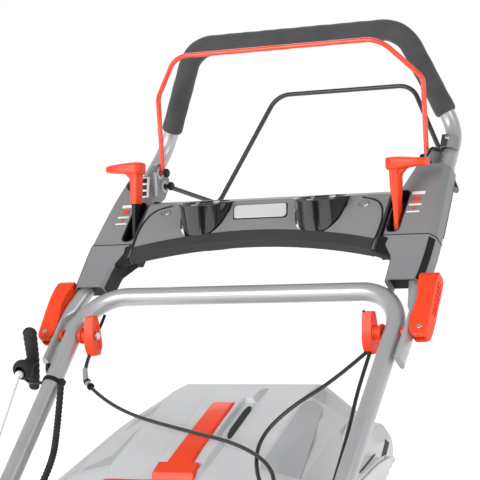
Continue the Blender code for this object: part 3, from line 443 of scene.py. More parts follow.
def resample(path, step):
    out = [path[0]]
    for a, b in zip(path, path[1:]):
        count = max(1, int(math.ceil((b - a).length / step)))
        for k in range(1, count + 1):
            out.append(a.lerp(b, k / count))
    return out


def flow(points, step):
    """Smooth curve that leans on the corners of a line of points."""
    points = [Vector(p) for p in points]
    middles = [a.lerp(b, 0.5) for a, b in zip(points, points[1:])]
    out = [points[0]]
    for i, bend in enumerate(points[1:-1]):
        a = points[0] if i == 0 else middles[i]
        b = points[-1] if i == len(points) - 3 else middles[i + 1]
        count = max(4, int(((bend - a).length + (b - bend).length) / step))
        for k in range(1, count + 1):
            f = k / count
            out.append(a.lerp(bend, f).lerp(bend.lerp(b, f), f))
    return out


def lengths(path):
    total, out = 0.0, [0.0]
    for a, b in zip(path, path[1:]):
        total += (b - a).length
        out.append(total)
    return out


def sweep_rings(path, shape, side_hint=(1.0, 0.0, 0.0)):
    """Rings along a path; shape(i, length so far) lists (side, up) offsets."""
    side = Vector(side_hint)
    run = lengths(path)
    rings = []
    for i, point in enumerate(path):
        before = path[max(i - 1, 0)]
        after = path[min(i + 1, len(path) - 1)]
        incoming = (point - before).normalized() if i > 0 else (after - point).normalized()
        outgoing = (after - point).normalized() if i < len(path) - 1 else incoming
        tangent = (incoming + outgoing).normalized()
        side = (side - tangent * side.dot(tangent)).normalized()
        up = tangent.cross(side)
        rings.append([point + side * a + up * b for a, b in shape(i, run[i])])
    return rings


def circle(radius, seg):
    return [(radius * c, radius * d) for c, d in around(seg, 0.5)]


def tube(path, radius, seg=24, side=(1.0, 0.0, 0.0), wall=None):
    """Round bar, or a pipe where a wall is given; radius may be a function of length."""
    size = radius if callable(radius) else (lambda run: radius)
    outer = sweep_rings(path, lambda i, run: circle(size(run), seg), side)
    if wall is None:
        return loft(outer)
    inner = sweep_rings(path, lambda i, run: circle(size(run) - wall, seg), side)
    return loft(outer + inner[::-1], closed=True)


def piece(name, bm, mat, body, replaces=(), bevel=0.0, segs=2, angle=32.0, joined=(), cuts=()):
    """One finished visible piece riding on a body."""
    bmesh.ops.remove_doubles(bm, verts=bm.verts, dist=1e-7)
    bmesh.ops.recalc_face_normals(bm, faces=bm.faces)
    mesh = bpy.data.meshes.new(name)
    bm.to_mesh(mesh)
    bm.free()
    item = bpy.data.objects.new(name, mesh)
    bpy.context.collection.objects.link(item)
    tools = []
    for tool, operation in [(t, "UNION") for t in joined] + [(t, "DIFFERENCE") for t in cuts]:
        bmesh.ops.recalc_face_normals(tool, faces=tool.faces)
        tool_mesh = bpy.data.meshes.new("tool")
        tool.to_mesh(tool_mesh)
        tool.free()
        helper = bpy.data.objects.new("tool", tool_mesh)
        bpy.context.collection.objects.link(helper)
        tools.append(helper)
        step = item.modifiers.new("shape", "BOOLEAN")
        step.operation = operation
        step.solver = "EXACT"
        step.object = helper
    if tools:
        bpy.context.view_layer.update()
        graph = bpy.context.evaluated_depsgraph_get()
        item.data = bpy.data.meshes.new_from_object(item.evaluated_get(graph))
        item.modifiers.clear()
        for helper in tools:
            bpy.data.objects.remove(helper, do_unlink=True)
    item.data.materials.clear()
    item.data.materials.append(MATERIALS[mat])
    item.data.shade_smooth()
    if bevel > 0.0:
        soft = item.modifiers.new("soft_edges", "BEVEL")
        soft.width = bevel
        soft.segments = segs
        soft.limit_method = "ANGLE"
        soft.angle_limit = math.radians(angle)
        soft.harden_normals = True
    else:
        item.data.set_sharp_from_angle(angle=math.radians(angle))
    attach(item, body)
    if replaces:
        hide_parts(*replaces)
    return item


def bolt(name, centre, axis, radius, tall, mat, body):
    """Hexagon flange bolt head."""
    axis = Vector(axis).normalized()
    flange = lathe([(0.0, 0.0), (radius * 1.35, 0.0), (radius * 1.35, tall * 0.2),
                    (radius * 0.98, tall * 0.32), (0.0, tall * 0.32)], centre, axis, 24)
    head = lathe([(0.0, tall * 0.2), (radius, tall * 0.2), (radius, tall * 0.9),
                  (radius * 0.85, tall), (0.0, tall)], centre, axis, 6)
    return piece(name, merge([flange, head]), mat, body, angle=25.0)


def bolts(name, places, axis, radius, tall):
    """Numbered steel bolt heads on the chassis."""
    for k, place in enumerate(places):
        bolt(name + str(k), place, axis, radius, tall, "steel", "chassis")


def screw(name, centre, axis, radius, mat, body):
    """Cross-recessed screw head."""
    axis = Vector(axis).normalized()
    head = lathe([(0.0, -radius * 0.3), (radius, -radius * 0.3), (radius, 0.0),
                  (radius * 0.8, radius * 0.28), (0.0, radius * 0.4)], centre, axis, 24)
    across = axis.orthogonal().normalized()
    cuts = [box(Vector(centre) + axis * radius * 0.35, way, axis,
                (radius * 1.1, radius * 0.28, radius * 0.5))
            for way in (across, axis.cross(across))]
    return piece(name, head, mat, body, cuts=cuts)


# --- lower frame and upper handle -----------------------------------------------------------
def upper_path(steps):
    grip = GRIP_CORNER
    right = [handle(UPPER_END_X, UPPER_END_S, 0.0), handle(UPPER_END_X, -0.03, 0.0),
             handle(0.254, 0.022, -0.001), handle(0.234, 0.294, -0.012),
             corner(grip.x, grip.y, grip.z)]
    radii = [0.06, 0.06, 0.05, 0.048]
    return fillet(sided(right, -1.0) + right[::-1], radii + radii[::-1], steps)


def build_handles():
    path = fillet([handle(-LEG_X, FOOT_S - 0.02, 0.0), handle(-LEG_X, 0.0, 0.0),
                   handle(LEG_X, 0.0, 0.0), handle(LEG_X, FOOT_S - 0.02, 0.0)],
                  [LEG_BEND, LEG_BEND], 20)
    piece("lower_tube", tube(path, LEG_R, 36, wall=0.0012), "tube", "chassis",
          replaces=["lower_frame"])
    for sign, tag in SIDES:
        end = handle(sign * LEG_X, FOOT_S - 0.02, 0.0)
        plug = lathe([(0.0, -0.0035), (LEG_R * 0.8, -0.0035), (LEG_R, -0.002), (LEG_R, 0.0),
                      (LEG_R - 0.0014, 0.0), (LEG_R - 0.0014, 0.008), (0.0, 0.008)],
                     end, SLOPE, 32)
        piece("leg_plug_" + tag, plug, "black", "chassis")

    # upper handle: round tube whose ends are pressed flat beside the lower leg
    path = resample(upper_path(14), 0.006)
    half = 18
    flat_end = []
    round_ring = []
    for k in range(2 * half):
        a = math.radians(90.0 + 180.0 * (k + 0.5) / half)
        round_ring.append((UPPER_R * math.cos(a), UPPER_R * math.sin(a)))
        flat_end.append((0.0068 * math.cos(a) * (0.45 if math.cos(a) > 0.0 else 1.0),
                       0.0134 * math.sin(a)))
    origin = handle(0.0, 0.0, 0.0)

    def shape(i, run):
        point = path[i].copy()
        s = (point - origin).dot(SLOPE)
        f = ease(min(max((-0.024 - s) / 0.024, 0.0), 1.0))
        return [(a * (1 - f) + c * f, b * (1 - f) + d * f)
                for (a, b), (c, d) in zip(round_ring, flat_end)]

    piece("upper_tube", loft(sweep_rings(path, shape)), "tube", "upper_handle",
          replaces=["upper_handle"])

    # foam sleeve
    level = HANDLE_Z + FOAM_END_Z
    sleeve = [p for p in path if p.z > level + 0.004]
    ends = []
    for a, b in zip(path, path[1:]):
        if (a.z - level) * (b.z - level) < 0.0:
            ends.append(a.lerp(b, (level - a.z) / (b.z - a.z)))
    sleeve = resample([ends[0]] + sleeve + [ends[1]], 0.003)
    total = lengths(sleeve)[-1]

    def thick(run):
        edge = min(run, total - run)
        soft = min(edge / 0.004, 1.0)
        swell = 0.00018 * math.sin(run * 210.0) + 0.00012 * math.sin(run * 97.0 + 1.3)
        return (FOAM_R - 0.0023) + 0.0018 * math.sqrt(1.0 - (1.0 - soft) ** 2) + swell * soft

    outer = sweep_rings(sleeve, lambda i, run: circle(thick(run), 40))
    inner = sweep_rings(sleeve, lambda i, run: circle(UPPER_R + 0.0002, 40))
    piece("foam_sleeve", loft(outer + inner[::-1], closed=True), "foam", "upper_handle",
          replaces=["foam_grip"], angle=60.0)

    # moulded stop with a screw just below the foam on the +X tube, and a small hook
    stop_at = corner(0.2368, 0.189, 0.1795)
    along = Vector((0.0, 0.5, 0.86)).normalized()
    ring = hoop(UPPER_R - 0.0004, UPPER_R + 0.0014, -0.01, 0.01, stop_at, along)
    piece("grip_stop", ring, "grey", "upper_handle", bevel=0.0008)
    front = Vector((0.0, -0.86, 0.5))
    pad = box(stop_at + front * 0.012 + Vector((-0.0035, 0.0, 0.0)), X_AXIS, front,
              (0.01, 0.0185, 0.003))
    piece("grip_stop_pad", pad, "dark_grey", "upper_handle", bevel=0.0012)
    screw("grip_stop_screw", stop_at + front * 0.0132 + along * 0.004, front, 0.0032,
          "steel", "upper_handle")
    hook = fillet(route((0.2268, 0.15, 0.15), (0.22, 0.148, 0.166),
                   (0.224, 0.156, 0.178), (0.23, 0.168, 0.172)),
                  [0.005, 0.005], 8)
    piece("hook", tube(hook, 0.0018, 12), "black", "upper_handle")


# --- clamps and cam levers -----------------------------------------------------------------
def build_clamps():
    centre = handle(0.0, CLAMP_S, 0.0)
    for sign, tag in SIDES:
        flip = (lambda bm: bm) if sign > 0 else mirrored
        outline = [(centre.y + a, centre.z + b) for a, b in
                   ((-0.007, -0.0272), (0.006, -0.0272), (0.013, -0.015), (0.0115, 0.002),
                    (0.008, 0.02), (0.0055, 0.0272), (-0.0055, 0.0272), (-0.0085, 0.018),
                    (-0.0115, 0.0), (-0.0125, -0.014))]
        wing = prism(outline, 0.2058, 0.2195)
        recess = prism([(centre.y + a, centre.z + b) for a, b in
                        ((-0.006, -0.017), (0.006, -0.017), (0.005, 0.015),
                         (-0.004, 0.015))], 0.204, 0.2072)
        piece("clamp_knob_" + tag, flip(wing), "red", "chassis", replaces=["clamp_pad_" + tag],
              bevel=0.0022, segs=3, cuts=[flip(recess)])
        collar = lathe([(0.0, 0.219), (0.0098, 0.219), (0.0098, 0.2215), (0.0082, 0.2225),
                        (0.0082, 0.2265), (0.011, 0.2275), (0.011, 0.2312), (0.0, 0.2312)],
                       centre, X_AXIS, 36)
        piece("clamp_collar_" + tag, flip(collar), "red", "chassis", bevel=0.0006)
        hook = [centre + Vector((0.1985, 0.013, 0.027)), centre + Vector((0.206, 0.013, 0.013)),
                centre + Vector((0.214, 0.0125, 0.002)), centre + Vector((0.2235, 0.008, 0.0))]
        piece("clamp_hook_" + tag, flip(tube(flow(hook, 0.003), 0.0022, 12)), "black", "chassis")
        stem = disc(0.003, 0.232, 0.2912, centre, X_AXIS, 20)
        piece("clamp_stem_" + tag, flip(stem), "steel", "chassis")
        cap = lathe([(0.0, 0.203), (0.005, 0.203), (0.0062, 0.2042), (0.0062, 0.2066),
                     (0.0, 0.2066)], centre, X_AXIS, 6)
        piece("clamp_nut_" + tag, flip(cap), "steel", "chassis", angle=20.0)
        boss = lathe([(0.0, 0.259), (0.0085, 0.259), (0.0085, 0.2635), (0.006, 0.2645),
                      (0.006, 0.2665), (0.0, 0.2665)], centre, X_AXIS, 32)
        piece("clamp_boss_" + tag, flip(boss), "red", "chassis", bevel=0.0006)

        # cam lever
        body = "cam_lever_" + tag
        # s along the lever, inner and outer x, lower and upper height off the slope
        stations = ((-0.011, 0.28, 0.2905, -0.007, 0.009),
                    (-0.0095, 0.2765, 0.2935, -0.008, 0.01),
                    (-0.0065, 0.2735, 0.2955, -0.0085, 0.0108),
                    (0.0, 0.2712, 0.2962, -0.0088, 0.012),
                    (0.01, 0.27, 0.2965, -0.008, 0.013),
                    (0.02, 0.2702, 0.2965, -0.007, 0.0145),
                    (0.032, 0.2722, 0.2962, -0.005, 0.0165),
                    (0.044, 0.2735, 0.2958, -0.0035, 0.0185),
                    (0.056, 0.2716, 0.2954, -0.0025, 0.0198),
                    (0.068, 0.2686, 0.2948, -0.0015, 0.02),
                    (0.079, 0.2664, 0.2942, 0.0, 0.019),
                    (0.084, 0.268, 0.293, 0.002, 0.0165))
        rows = []
        for s, low, high, under, over in stations:
            rows.append([handle(low, CLAMP_S + s, under), handle(high, CLAMP_S + s, under),
                         handle(high, CLAMP_S + s, over), handle(low, CLAMP_S + s, over)])
        fork = loft([[handle(x, CLAMP_S + s, n) for x, s in
                      ((0.27, -0.02), (0.2925, -0.02), (0.2925, 0.0085), (0.27, 0.0085))]
                     for n in (-0.0036, 0.0036)])
        dish = loft([[handle(0.2946 + d, CLAMP_S + s, n) for s, n in
                      ((0.024, -0.001), (0.071, 0.0035), (0.071, 0.0155), (0.024, 0.0105))]
                     for d in (0.0, 0.004)])
        piece("cam_" + tag, flip(loft(rows)), "red", body, replaces=["cam_lever_" + tag],
              bevel=0.0014, segs=3, cuts=[flip(fork), flip(dish)])
        ribs = []
        for k in range(7):
            s = 0.0275 + 0.0064 * k
            low = -0.001 + 0.0045 * (s - 0.024) / 0.047
            ribs.append(box(handle(0.29515, CLAMP_S + s, low + 0.006), SLOPE, NORMAL,
                            (0.002, 0.0016, 0.0118)))
        for n in (0.0028, 0.009):
            ribs.append(loft([[handle(x, CLAMP_S + s, n + 0.0045 * (s - 0.024) / 0.047 + d)
                               for x, d in ((0.2945, -0.0006), (0.2958, -0.0006),
                                            (0.2958, 0.0006), (0.2945, 0.0006))]
                              for s in (0.0245, 0.0705)]))
        piece("cam_ribs_" + tag, flip(merge(ribs)), "red", body, bevel=0.0003)
        pin = handle(0.286, CLAMP_S, 0.004)
        pivot = lathe([(0.0, -0.0132), (0.003, -0.0132), (0.0036, -0.0126), (0.0036, 0.0086),
                       (0.003, 0.0092), (0.0, 0.0092)], pin, NORMAL, 20)
        piece("cam_pin_" + tag, flip(pivot), "steel", body)


# --- console ----------------------------------------------------------------------------------
def console_profile(x, offset):
    drop = 0.022 * (abs(x) / CONSOLE_X) ** 2
    low = (0.036 - drop * 0.72, 0.07 - drop * 0.78)
    points = [(low[0] + 0.009, low[1] - 0.01), low, (0.086, 0.1185), (0.091, 0.122),
              (0.1305, 0.122), (0.136, 0.117), (0.136, 0.082)]
    if offset == 0.0:
        return points
    shifted = []
    for i, point in enumerate(points):
        here = Vector(point)
        before = Vector(points[max(i - 1, 0)])
        after = Vector(points[min(i + 1, len(points) - 1)])
        normals = []
        for a, b in ((before, here), (here, after)):
            if (b - a).length > 1e-9:
                d = (b - a).normalized()
                normals.append(Vector((d.y, -d.x)))
        total = sum(normals, Vector((0.0, 0.0)))
        total.normalize()
        scale = 1.0 / max(total.dot(normals[0]), 0.5)
        moved = here + total * offset * scale
        shifted.append((moved.x, moved.y))
    return shifted


def console_line(x, offset):
    points = [corner(x, y, z) for y, z in console_profile(x, offset)]
    return fillet(points, [0.0045, 0.01, 0.004, 0.003, 0.003], 4)


def face_point(x, t, lift=0.0):
    """A point on the console's sloping face: t metres up from its lower edge."""
    drop = 0.022 * (abs(x) / CONSOLE_X) ** 2
    low = Vector((0.0, 0.036 - drop * 0.72, 0.07 - drop * 0.78))
    high = Vector((0.0, 0.086, 0.1185))
    run = (high - low).normalized()
    off = Vector((0.0, -run.z, run.y))
    p = low + run * t + off * lift
    return corner(x, p.y, p.z)


def build_console():
    steps = 56
    rows = []
    for k in range(steps + 1):
        x = -CONSOLE_X + 2.0 * CONSOLE_X * k / steps
        rows.append(console_line(x, 0.0) + console_line(x, CONSOLE_SKIN)[::-1])
    holes = [disc(CUP_R + 0.0004, 0.6, 0.82, (sign * CUP_X, HANDLE_Y + CUP_Y, 0.0), UP, 72)
             for sign, _tag in SIDES]
    # oval sinks for the screws
    run = (face_point(0.156, 0.07) - face_point(0.156, 0.05)).normalized()
    off = X_AXIS.cross(run)
    for sign, _tag in SIDES:
        middle = face_point(sign * 0.156, 0.0745)
        holes.append(loft([[middle + X_AXIS * (0.0105 * grow * c) + run * (0.0072 * grow * e)
                            + off * d for c, e in around(32)]
                           for d, grow in ((-0.002, 0.85), (0.004, 1.15))]))
    piece("console_shell", loft(rows), "grey", "upper_handle", replaces=["console"],
          cuts=holes, bevel=0.0007, angle=50.0)
    for sign, tag in SIDES:
        screw("console_screw_" + tag, face_point(sign * 0.156, 0.0745, -0.0014), off, 0.005,
              "steel", "upper_handle")

    # dark band along the lower edge and its lip
    band = []
    for k in range(49):
        x = -0.1885 + 0.377 * k / 48
        profile = console_profile(x, 0.0)
        lip = corner(x, profile[0][0], profile[0][1])
        low = face_point(x, 0.0, 0.0)
        out = (face_point(x, 0.0, 0.001) - low)
        band.append([lip + Vector((0.0, -0.0008, -0.0006)),
                     low + out * 0.6 + Vector((0, -0.0008, 0)),
                     face_point(x, 0.0185, 0.0009), face_point(x, 0.0185, -0.0004),
                     face_point(x, 0.001, -0.0004), lip + Vector((0.0, 0.0004, 0.0003))])
    piece("console_band", loft(band), "dark_grey", "upper_handle", bevel=0.0004)

    # seams that curve in over the console's ends, and the collars beyond them
    for sign, tag in SIDES:
        marks = []
        for x, f in ((0.185, 0.0), (0.1885, 0.18), (0.19, 0.4), (0.1895, 0.58), (0.186, 0.74),
                     (0.179, 0.87), (0.168, 0.955), (0.15, 0.998)):
            low = face_point(sign * x, 0.0, 0.0003)
            high = corner(sign * x, 0.086, 0.1185) + (low - face_point(sign * x, 0.0, 0.0))
            marks.append(low.lerp(high, f))
        profile = console_profile(0.185, 0.0)
        marks.insert(0, corner(sign * 0.185, profile[0][0], profile[0][1]))
        piece("console_seam_" + tag, tube(flow(marks, 0.003), 0.0012, 10, side=X_AXIS), "black",
              "upper_handle")
        collar = [console_line(sign * 0.19, 0.0003) + console_line(sign * 0.19, 0.0034)[::-1]]
        collar = [[Vector((sign * x, p.y, p.z)) for p in collar[0]] for x in (0.1885, 0.193)]
        piece("console_collar_" + tag, loft(collar), "dark_grey", "upper_handle")
        flange = []
        for x, quad in ((0.189, ((0.0205, 0.052), (0.0292, 0.0428), (0.05, 0.064),
                                  (0.04, 0.072))),
                        (0.201, ((0.02, 0.047), (0.0285, 0.039), (0.05, 0.06),
                                  (0.04, 0.068))),
                        (0.2145, ((0.0215, 0.0425), (0.0292, 0.036), (0.05, 0.056),
                                  (0.04, 0.064)))):
            flange.append([corner(sign * x, y, z) for y, z in quad])
        piece("console_flange_" + tag, loft(flange), "black", "upper_handle", bevel=0.0012)

    # blank plate between the cups
    def plate(grow, lift, thick):
        shape = [(-0.0395 - grow, 0.0415 - grow), (0.0425 + grow, 0.0415 - grow),
                 (0.0345 + grow, 0.0655 + grow), (-0.0475 - grow, 0.0655 + grow)]
        flat = [Vector((a, b, 0.0)) for a, b in shape]
        loop = flat + [flat[0], flat[1]]
        turned = []
        for i in range(1, 5):
            turned += fillet([loop[i - 1], loop[i], loop[i + 1]], [0.005], 6)[1:-1]
        return loft([[face_point(p.x, p.y, d) for p in turned] for d in (lift, lift + thick)])

    piece("console_plate_rim", plate(0.0016, -0.0006, 0.0011), "black", "upper_handle",
          bevel=0.0003)
    piece("console_plate", plate(0.0, 0.0004, 0.0009), "brushed", "upper_handle", bevel=0.0003)

    # glossy cups whose front wall stands clear of the sloping face
    for sign, tag in SIDES:
        base, rim = HANDLE_Z + 0.056, HANDLE_Z + 0.1225
        profile = [(0.0, base), (0.027, base), (0.0305, base + 0.0012), (0.033, base + 0.0045),
                   (0.0343, base + 0.011), (CUP_R - 0.0007, rim - 0.0042), (CUP_R, rim - 0.003),
                   (CUP_R, rim - 0.0007), (CUP_R - 0.0006, rim), (CUP_R - 0.0022, rim),
                   (CUP_R - 0.0028, rim - 0.0008), (0.0354, rim - 0.005), (0.0322, base + 0.012),
                   (0.0305, base + 0.0065), (0.0275, base + 0.0036), (0.024, base + 0.0026),
                   (0.0, base + 0.0026)]
        piece("cup_bowl_" + tag, lathe(profile, (sign * CUP_X, HANDLE_Y + CUP_Y, 0.0), UP, 96),
              "gloss_black", "upper_handle", replaces=["cup_" + tag], angle=50.0)
        plug = lathe([(0.034, base + 0.0005), (CUP_R + 0.0003, base + 0.0005),
                      (CUP_R + 0.0003, base + 0.005), (0.0345, base + 0.005)],
                     (sign * CUP_X, HANDLE_Y + CUP_Y, 0.0), UP, 64)
        piece("cup_plug_" + tag, plug, "black", "upper_handle")


def build_housings():
    stations = ((0.006, 0.217, 0.27, 0.018), (0.018, 0.2165, 0.271, 0.018),
                (0.044, 0.215, 0.272, 0.0185), (0.07, 0.1925, 0.272, 0.02),
                (0.13, 0.192, 0.267, 0.0215), (0.16, 0.197, 0.264, 0.022),
                (0.205, 0.207, 0.259, 0.02))
    skin = 0.0025

    def between(s):
        for a, b in zip(stations, stations[1:]):
            if s <= b[0]:
                f = (s - a[0]) / (b[0] - a[0])
                return [u + (v - u) * f for u, v in zip(a[1:], b[1:])]
        return list(stations[-1][1:])

    def across(marks, corners):
        """Solid along the housing; corners(low, high, rise) lists its (x, n) at each mark."""
        return loft([[handle(x, s, n) for x, n in corners(*between(s))] for s in marks])

    marks = [0.006, 0.01, 0.018, 0.028, 0.038, 0.045, 0.055, 0.065, 0.075, 0.09, 0.105, 0.12,
             0.135, 0.15, 0.165, 0.18, 0.195, 0.205]

    def shell_ring(s, grow=0.0):
        low, high, rise = between(s)
        low, high, rise = low - grow, high + grow, rise + grow
        outer = [(low, -0.013), (low, rise - 0.005), (low + 0.005, rise), (high - 0.009, rise),
                 (high - 0.001, rise - 0.009), (high, -0.005)]
        return fillet([handle(x, s, n) for x, n in outer], [0.003, 0.004, 0.005, 0.004], 4)

    def inner_ring(s):
        low, high, rise = between(s)
        inner = [(high - skin, -0.005), (high - skin - 0.001, rise - 0.01),
                 (high - 0.01, rise - skin), (low + 0.006, rise - skin),
                 (low + skin, rise - 0.006), (low + skin, -0.013)]
        return fillet([handle(x, s, n) for x, n in inner], [0.003, 0.003, 0.003, 0.002], 4)

    for sign, tag in SIDES:
        flip = (lambda bm: bm) if sign > 0 else mirrored
        rows = [shell_ring(s) + inner_ring(s) for s in marks]

        def oval(x_low, x_high, s_low, s_high, n, turn=0.008):
            loop = [handle(x, s, n) for x, s in ((x_low, s_low), (x_high, s_low),
                                                 (x_high, s_high), (x_low, s_high))]
            start = loop[3].lerp(loop[0], 0.5)
            return fillet([start] + loop + [start], [turn] * 4, 7)[:-1]

        slot = loft([oval(0.1978, 0.2166, 0.085, 0.156, n) for n in (0.005, 0.035)])
        hub = []
        for s, n in ((0.185, -0.02), (0.212, -0.032), (0.238, -0.03), (0.25, -0.012),
                     (0.248, 0.008), (0.235, 0.017), (0.185, 0.019)):
            p = handle(0.0, s, n)
            hub.append((p.y, p.z))
        piece("housing_" + tag, flip(loft(rows)), "grey", "upper_handle",
              replaces=["side_housing_" + tag], cuts=[flip(slot)], bevel=0.0006, angle=50.0)
        piece("bail_hub_" + tag, flip(prism(hub, 0.216, 0.224)), "grey", "upper_handle",
              bevel=0.0014, segs=3)
        # black lining of the slot's walls: painted shade inside the slot
        well = loft([oval(0.1968, 0.2176, 0.084, 0.157, n) for n in (0.002, 0.0185)])
        hole = loft([oval(0.198, 0.2164, 0.072, 0.1558, n) for n in (-0.01, 0.03)])
        piece("slot_shade_well_" + tag, flip(well), "gloss_black", "upper_handle", cuts=[flip(hole)])
        lip = loft([oval(0.197, 0.2174, 0.0842, 0.1568, n) for n in (0.019, 0.0222)])
        hole = loft([oval(0.198, 0.2164, 0.0852, 0.1558, n) for n in (0.01, 0.03)])
        skirt = loft([[handle(x, s, n + between(s)[2]) for x, s in
                       ((0.19, 0.078), (0.222, 0.078), (0.222, 0.163), (0.19, 0.163))]
                      for n in (0.0006, 0.01)])
        piece("slot_lip_" + tag, flip(lip), "gloss_black", "upper_handle",
              cuts=[flip(hole), flip(skirt)])

        # dark core, back cover and flanks of the lower housing: black pieces that are painted
        # shade in and along it
        shade_core = across((0.014, 0.018, 0.028, 0.045, 0.06, 0.074), lambda low, high, rise: (
            (low + 0.0028, -0.0124), (low + 0.0028, rise - 0.006),
            (low + 0.007, rise - 0.0028), (high - 0.0105, rise - 0.0028),
            (high - 0.0038, rise - 0.0108), (high - 0.003, -0.005), (high - 0.004, -0.0124)))
        piece("housing_shade_core_" + tag, flip(shade_core), "black", "upper_handle")
        # black back cover inside the housing: painted shade seen through the slot
        rear = across((0.0975, 0.13, 0.16, 0.204), lambda low, high, rise: (
            (low + 0.0028, -0.0126), (high - 0.0028, -0.0126),
            (high - 0.0028, -0.0116), (low + 0.0028, -0.0116)))
        piece("housing_shade_back_" + tag, flip(rear), "black", "upper_handle")
        filler = loft([[handle(x, s, n) for x, s in ((0.187, 0.064), (0.1955, 0.064),
                                                     (0.1955, 0.166), (0.187, 0.166))]
                       for n in (-0.012, 0.0125)])
        piece("housing_filler_" + tag, flip(filler), "black", "upper_handle")
        # black strips along the inner flank and the outboard edge of the lower housing: painted
        # shade on these faces
        inboard = across(marks[:9], lambda low, high, rise: (
            (low - 0.0006, -0.0128), (low + 0.0008, -0.0128),
            (low + 0.0008, rise - 0.0052), (low - 0.0006, rise - 0.0052)))
        outboard = across(marks[:9], lambda low, high, rise: (
            (high - 0.008, rise - 0.0004), (high - 0.0016, rise - 0.0078),
            (high - 0.0024, rise - 0.0086), (high - 0.0088, rise - 0.001)))
        piece("housing_shade_flank_" + tag, flip(inboard), "black", "upper_handle")
        piece("housing_shade_edge_" + tag, flip(outboard), "black", "upper_handle")
        seam = shell_ring(0.0795, 0.0001)
        piece("housing_seam_" + tag, flip(tube(seam, 0.0007, 8, side=SLOPE)), "black",
              "upper_handle")

        # plain blank bars beside the slot
        def strip(low, high, s_low, s_high, lift):
            return loft([[handle(x, s, between(s)[2] + lift + d) for x, s in
                          ((low, s_low), (high, s_low), (high, s_high), (low, s_high))]
                         for d in (-0.0004, 0.0004)])

        bars = [strip(0.22, 0.2385, a, b, 0.0003) for a, b in
                ((0.148, 0.153), (0.129, 0.1315), (0.117, 0.119))]
        piece("strip_white_" + tag, flip(merge(bars)), "white", "upper_handle")
        bars = [strip(0.224, 0.234, 0.137, 0.143, 0.0003),
                strip(0.2278, 0.2298, 0.1205, 0.1275, 0.0003)]
        piece("strip_red_" + tag, flip(merge(bars)), "red", "upper_handle")
        for place, name in ((RED_PIVOT, "red"), (BLACK_PIVOT, "black")):
            at = corner(0.0, place.y, place.z)
            clip = lathe([(0.0046, 0.215), (0.0086, 0.215), (0.0092, 0.2156),
                          (0.0092, 0.2188), (0.0046, 0.2188)], at, X_AXIS, 32)
            piece("hub_ring_" + name + "_" + tag, flip(clip), "light", "upper_handle",
                  bevel=0.0004)
            cap = lathe([(0.0, 0.202), (0.005, 0.202), (0.0064, 0.2034), (0.0064, 0.2068),
                         (0.0, 0.2068)], at, X_AXIS, 28)
            piece("hub_cap_" + name + "_" + tag, flip(cap), "black", "upper_handle",
                  bevel=0.0005)
        if sign > 0:
            continue
        foot, head = handle(0.2105, 0.168, 0.0205), handle(0.2105, 0.193, 0.037)
        along = (head - foot).normalized()
        off = X_AXIS.cross(along)
        middle = foot.lerp(head, 0.5)
        piece("hub_plate_" + tag, flip(box(middle, X_AXIS, off, (0.017, 0.03, 0.0026))),
              "white", "upper_handle", bevel=0.0006)
        slots = [box(middle + along * (0.0094 * k) + off * 0.0003, X_AXIS, off,
                     (0.0112, 0.0066, 0.0024)) for k in (-1, 0, 1)]
        piece("hub_slots_" + tag, flip(merge(slots)), "black", "upper_handle", bevel=0.0003)
        back = box(middle - off * 0.005 + X_AXIS * 0.004, X_AXIS, off, (0.016, 0.033, 0.008))
        piece("hub_block_" + tag, flip(back), "grey", "upper_handle", bevel=0.0015, segs=3)
        clip = tube(flow([middle + Vector((-0.0125, 0.01, -0.014)), middle
                          + Vector((-0.0145, 0.01, 0.004)), middle
                          + Vector((-0.0125, 0.012, 0.02))], 0.003), 0.0024, 12)
        piece("hub_clip_" + tag, flip(clip), "light", "upper_handle")
        knob = lathe([(0.0, 0.0), (0.006, 0.0), (0.0068, 0.0012), (0.0068, 0.006),
                      (0.0056, 0.008), (0.003, 0.009), (0.0, 0.0092)],
                     handle(0.237, 0.188, 0.0205), NORMAL, 32)
        piece("hub_knob_" + tag, flip(knob), "black", "upper_handle")


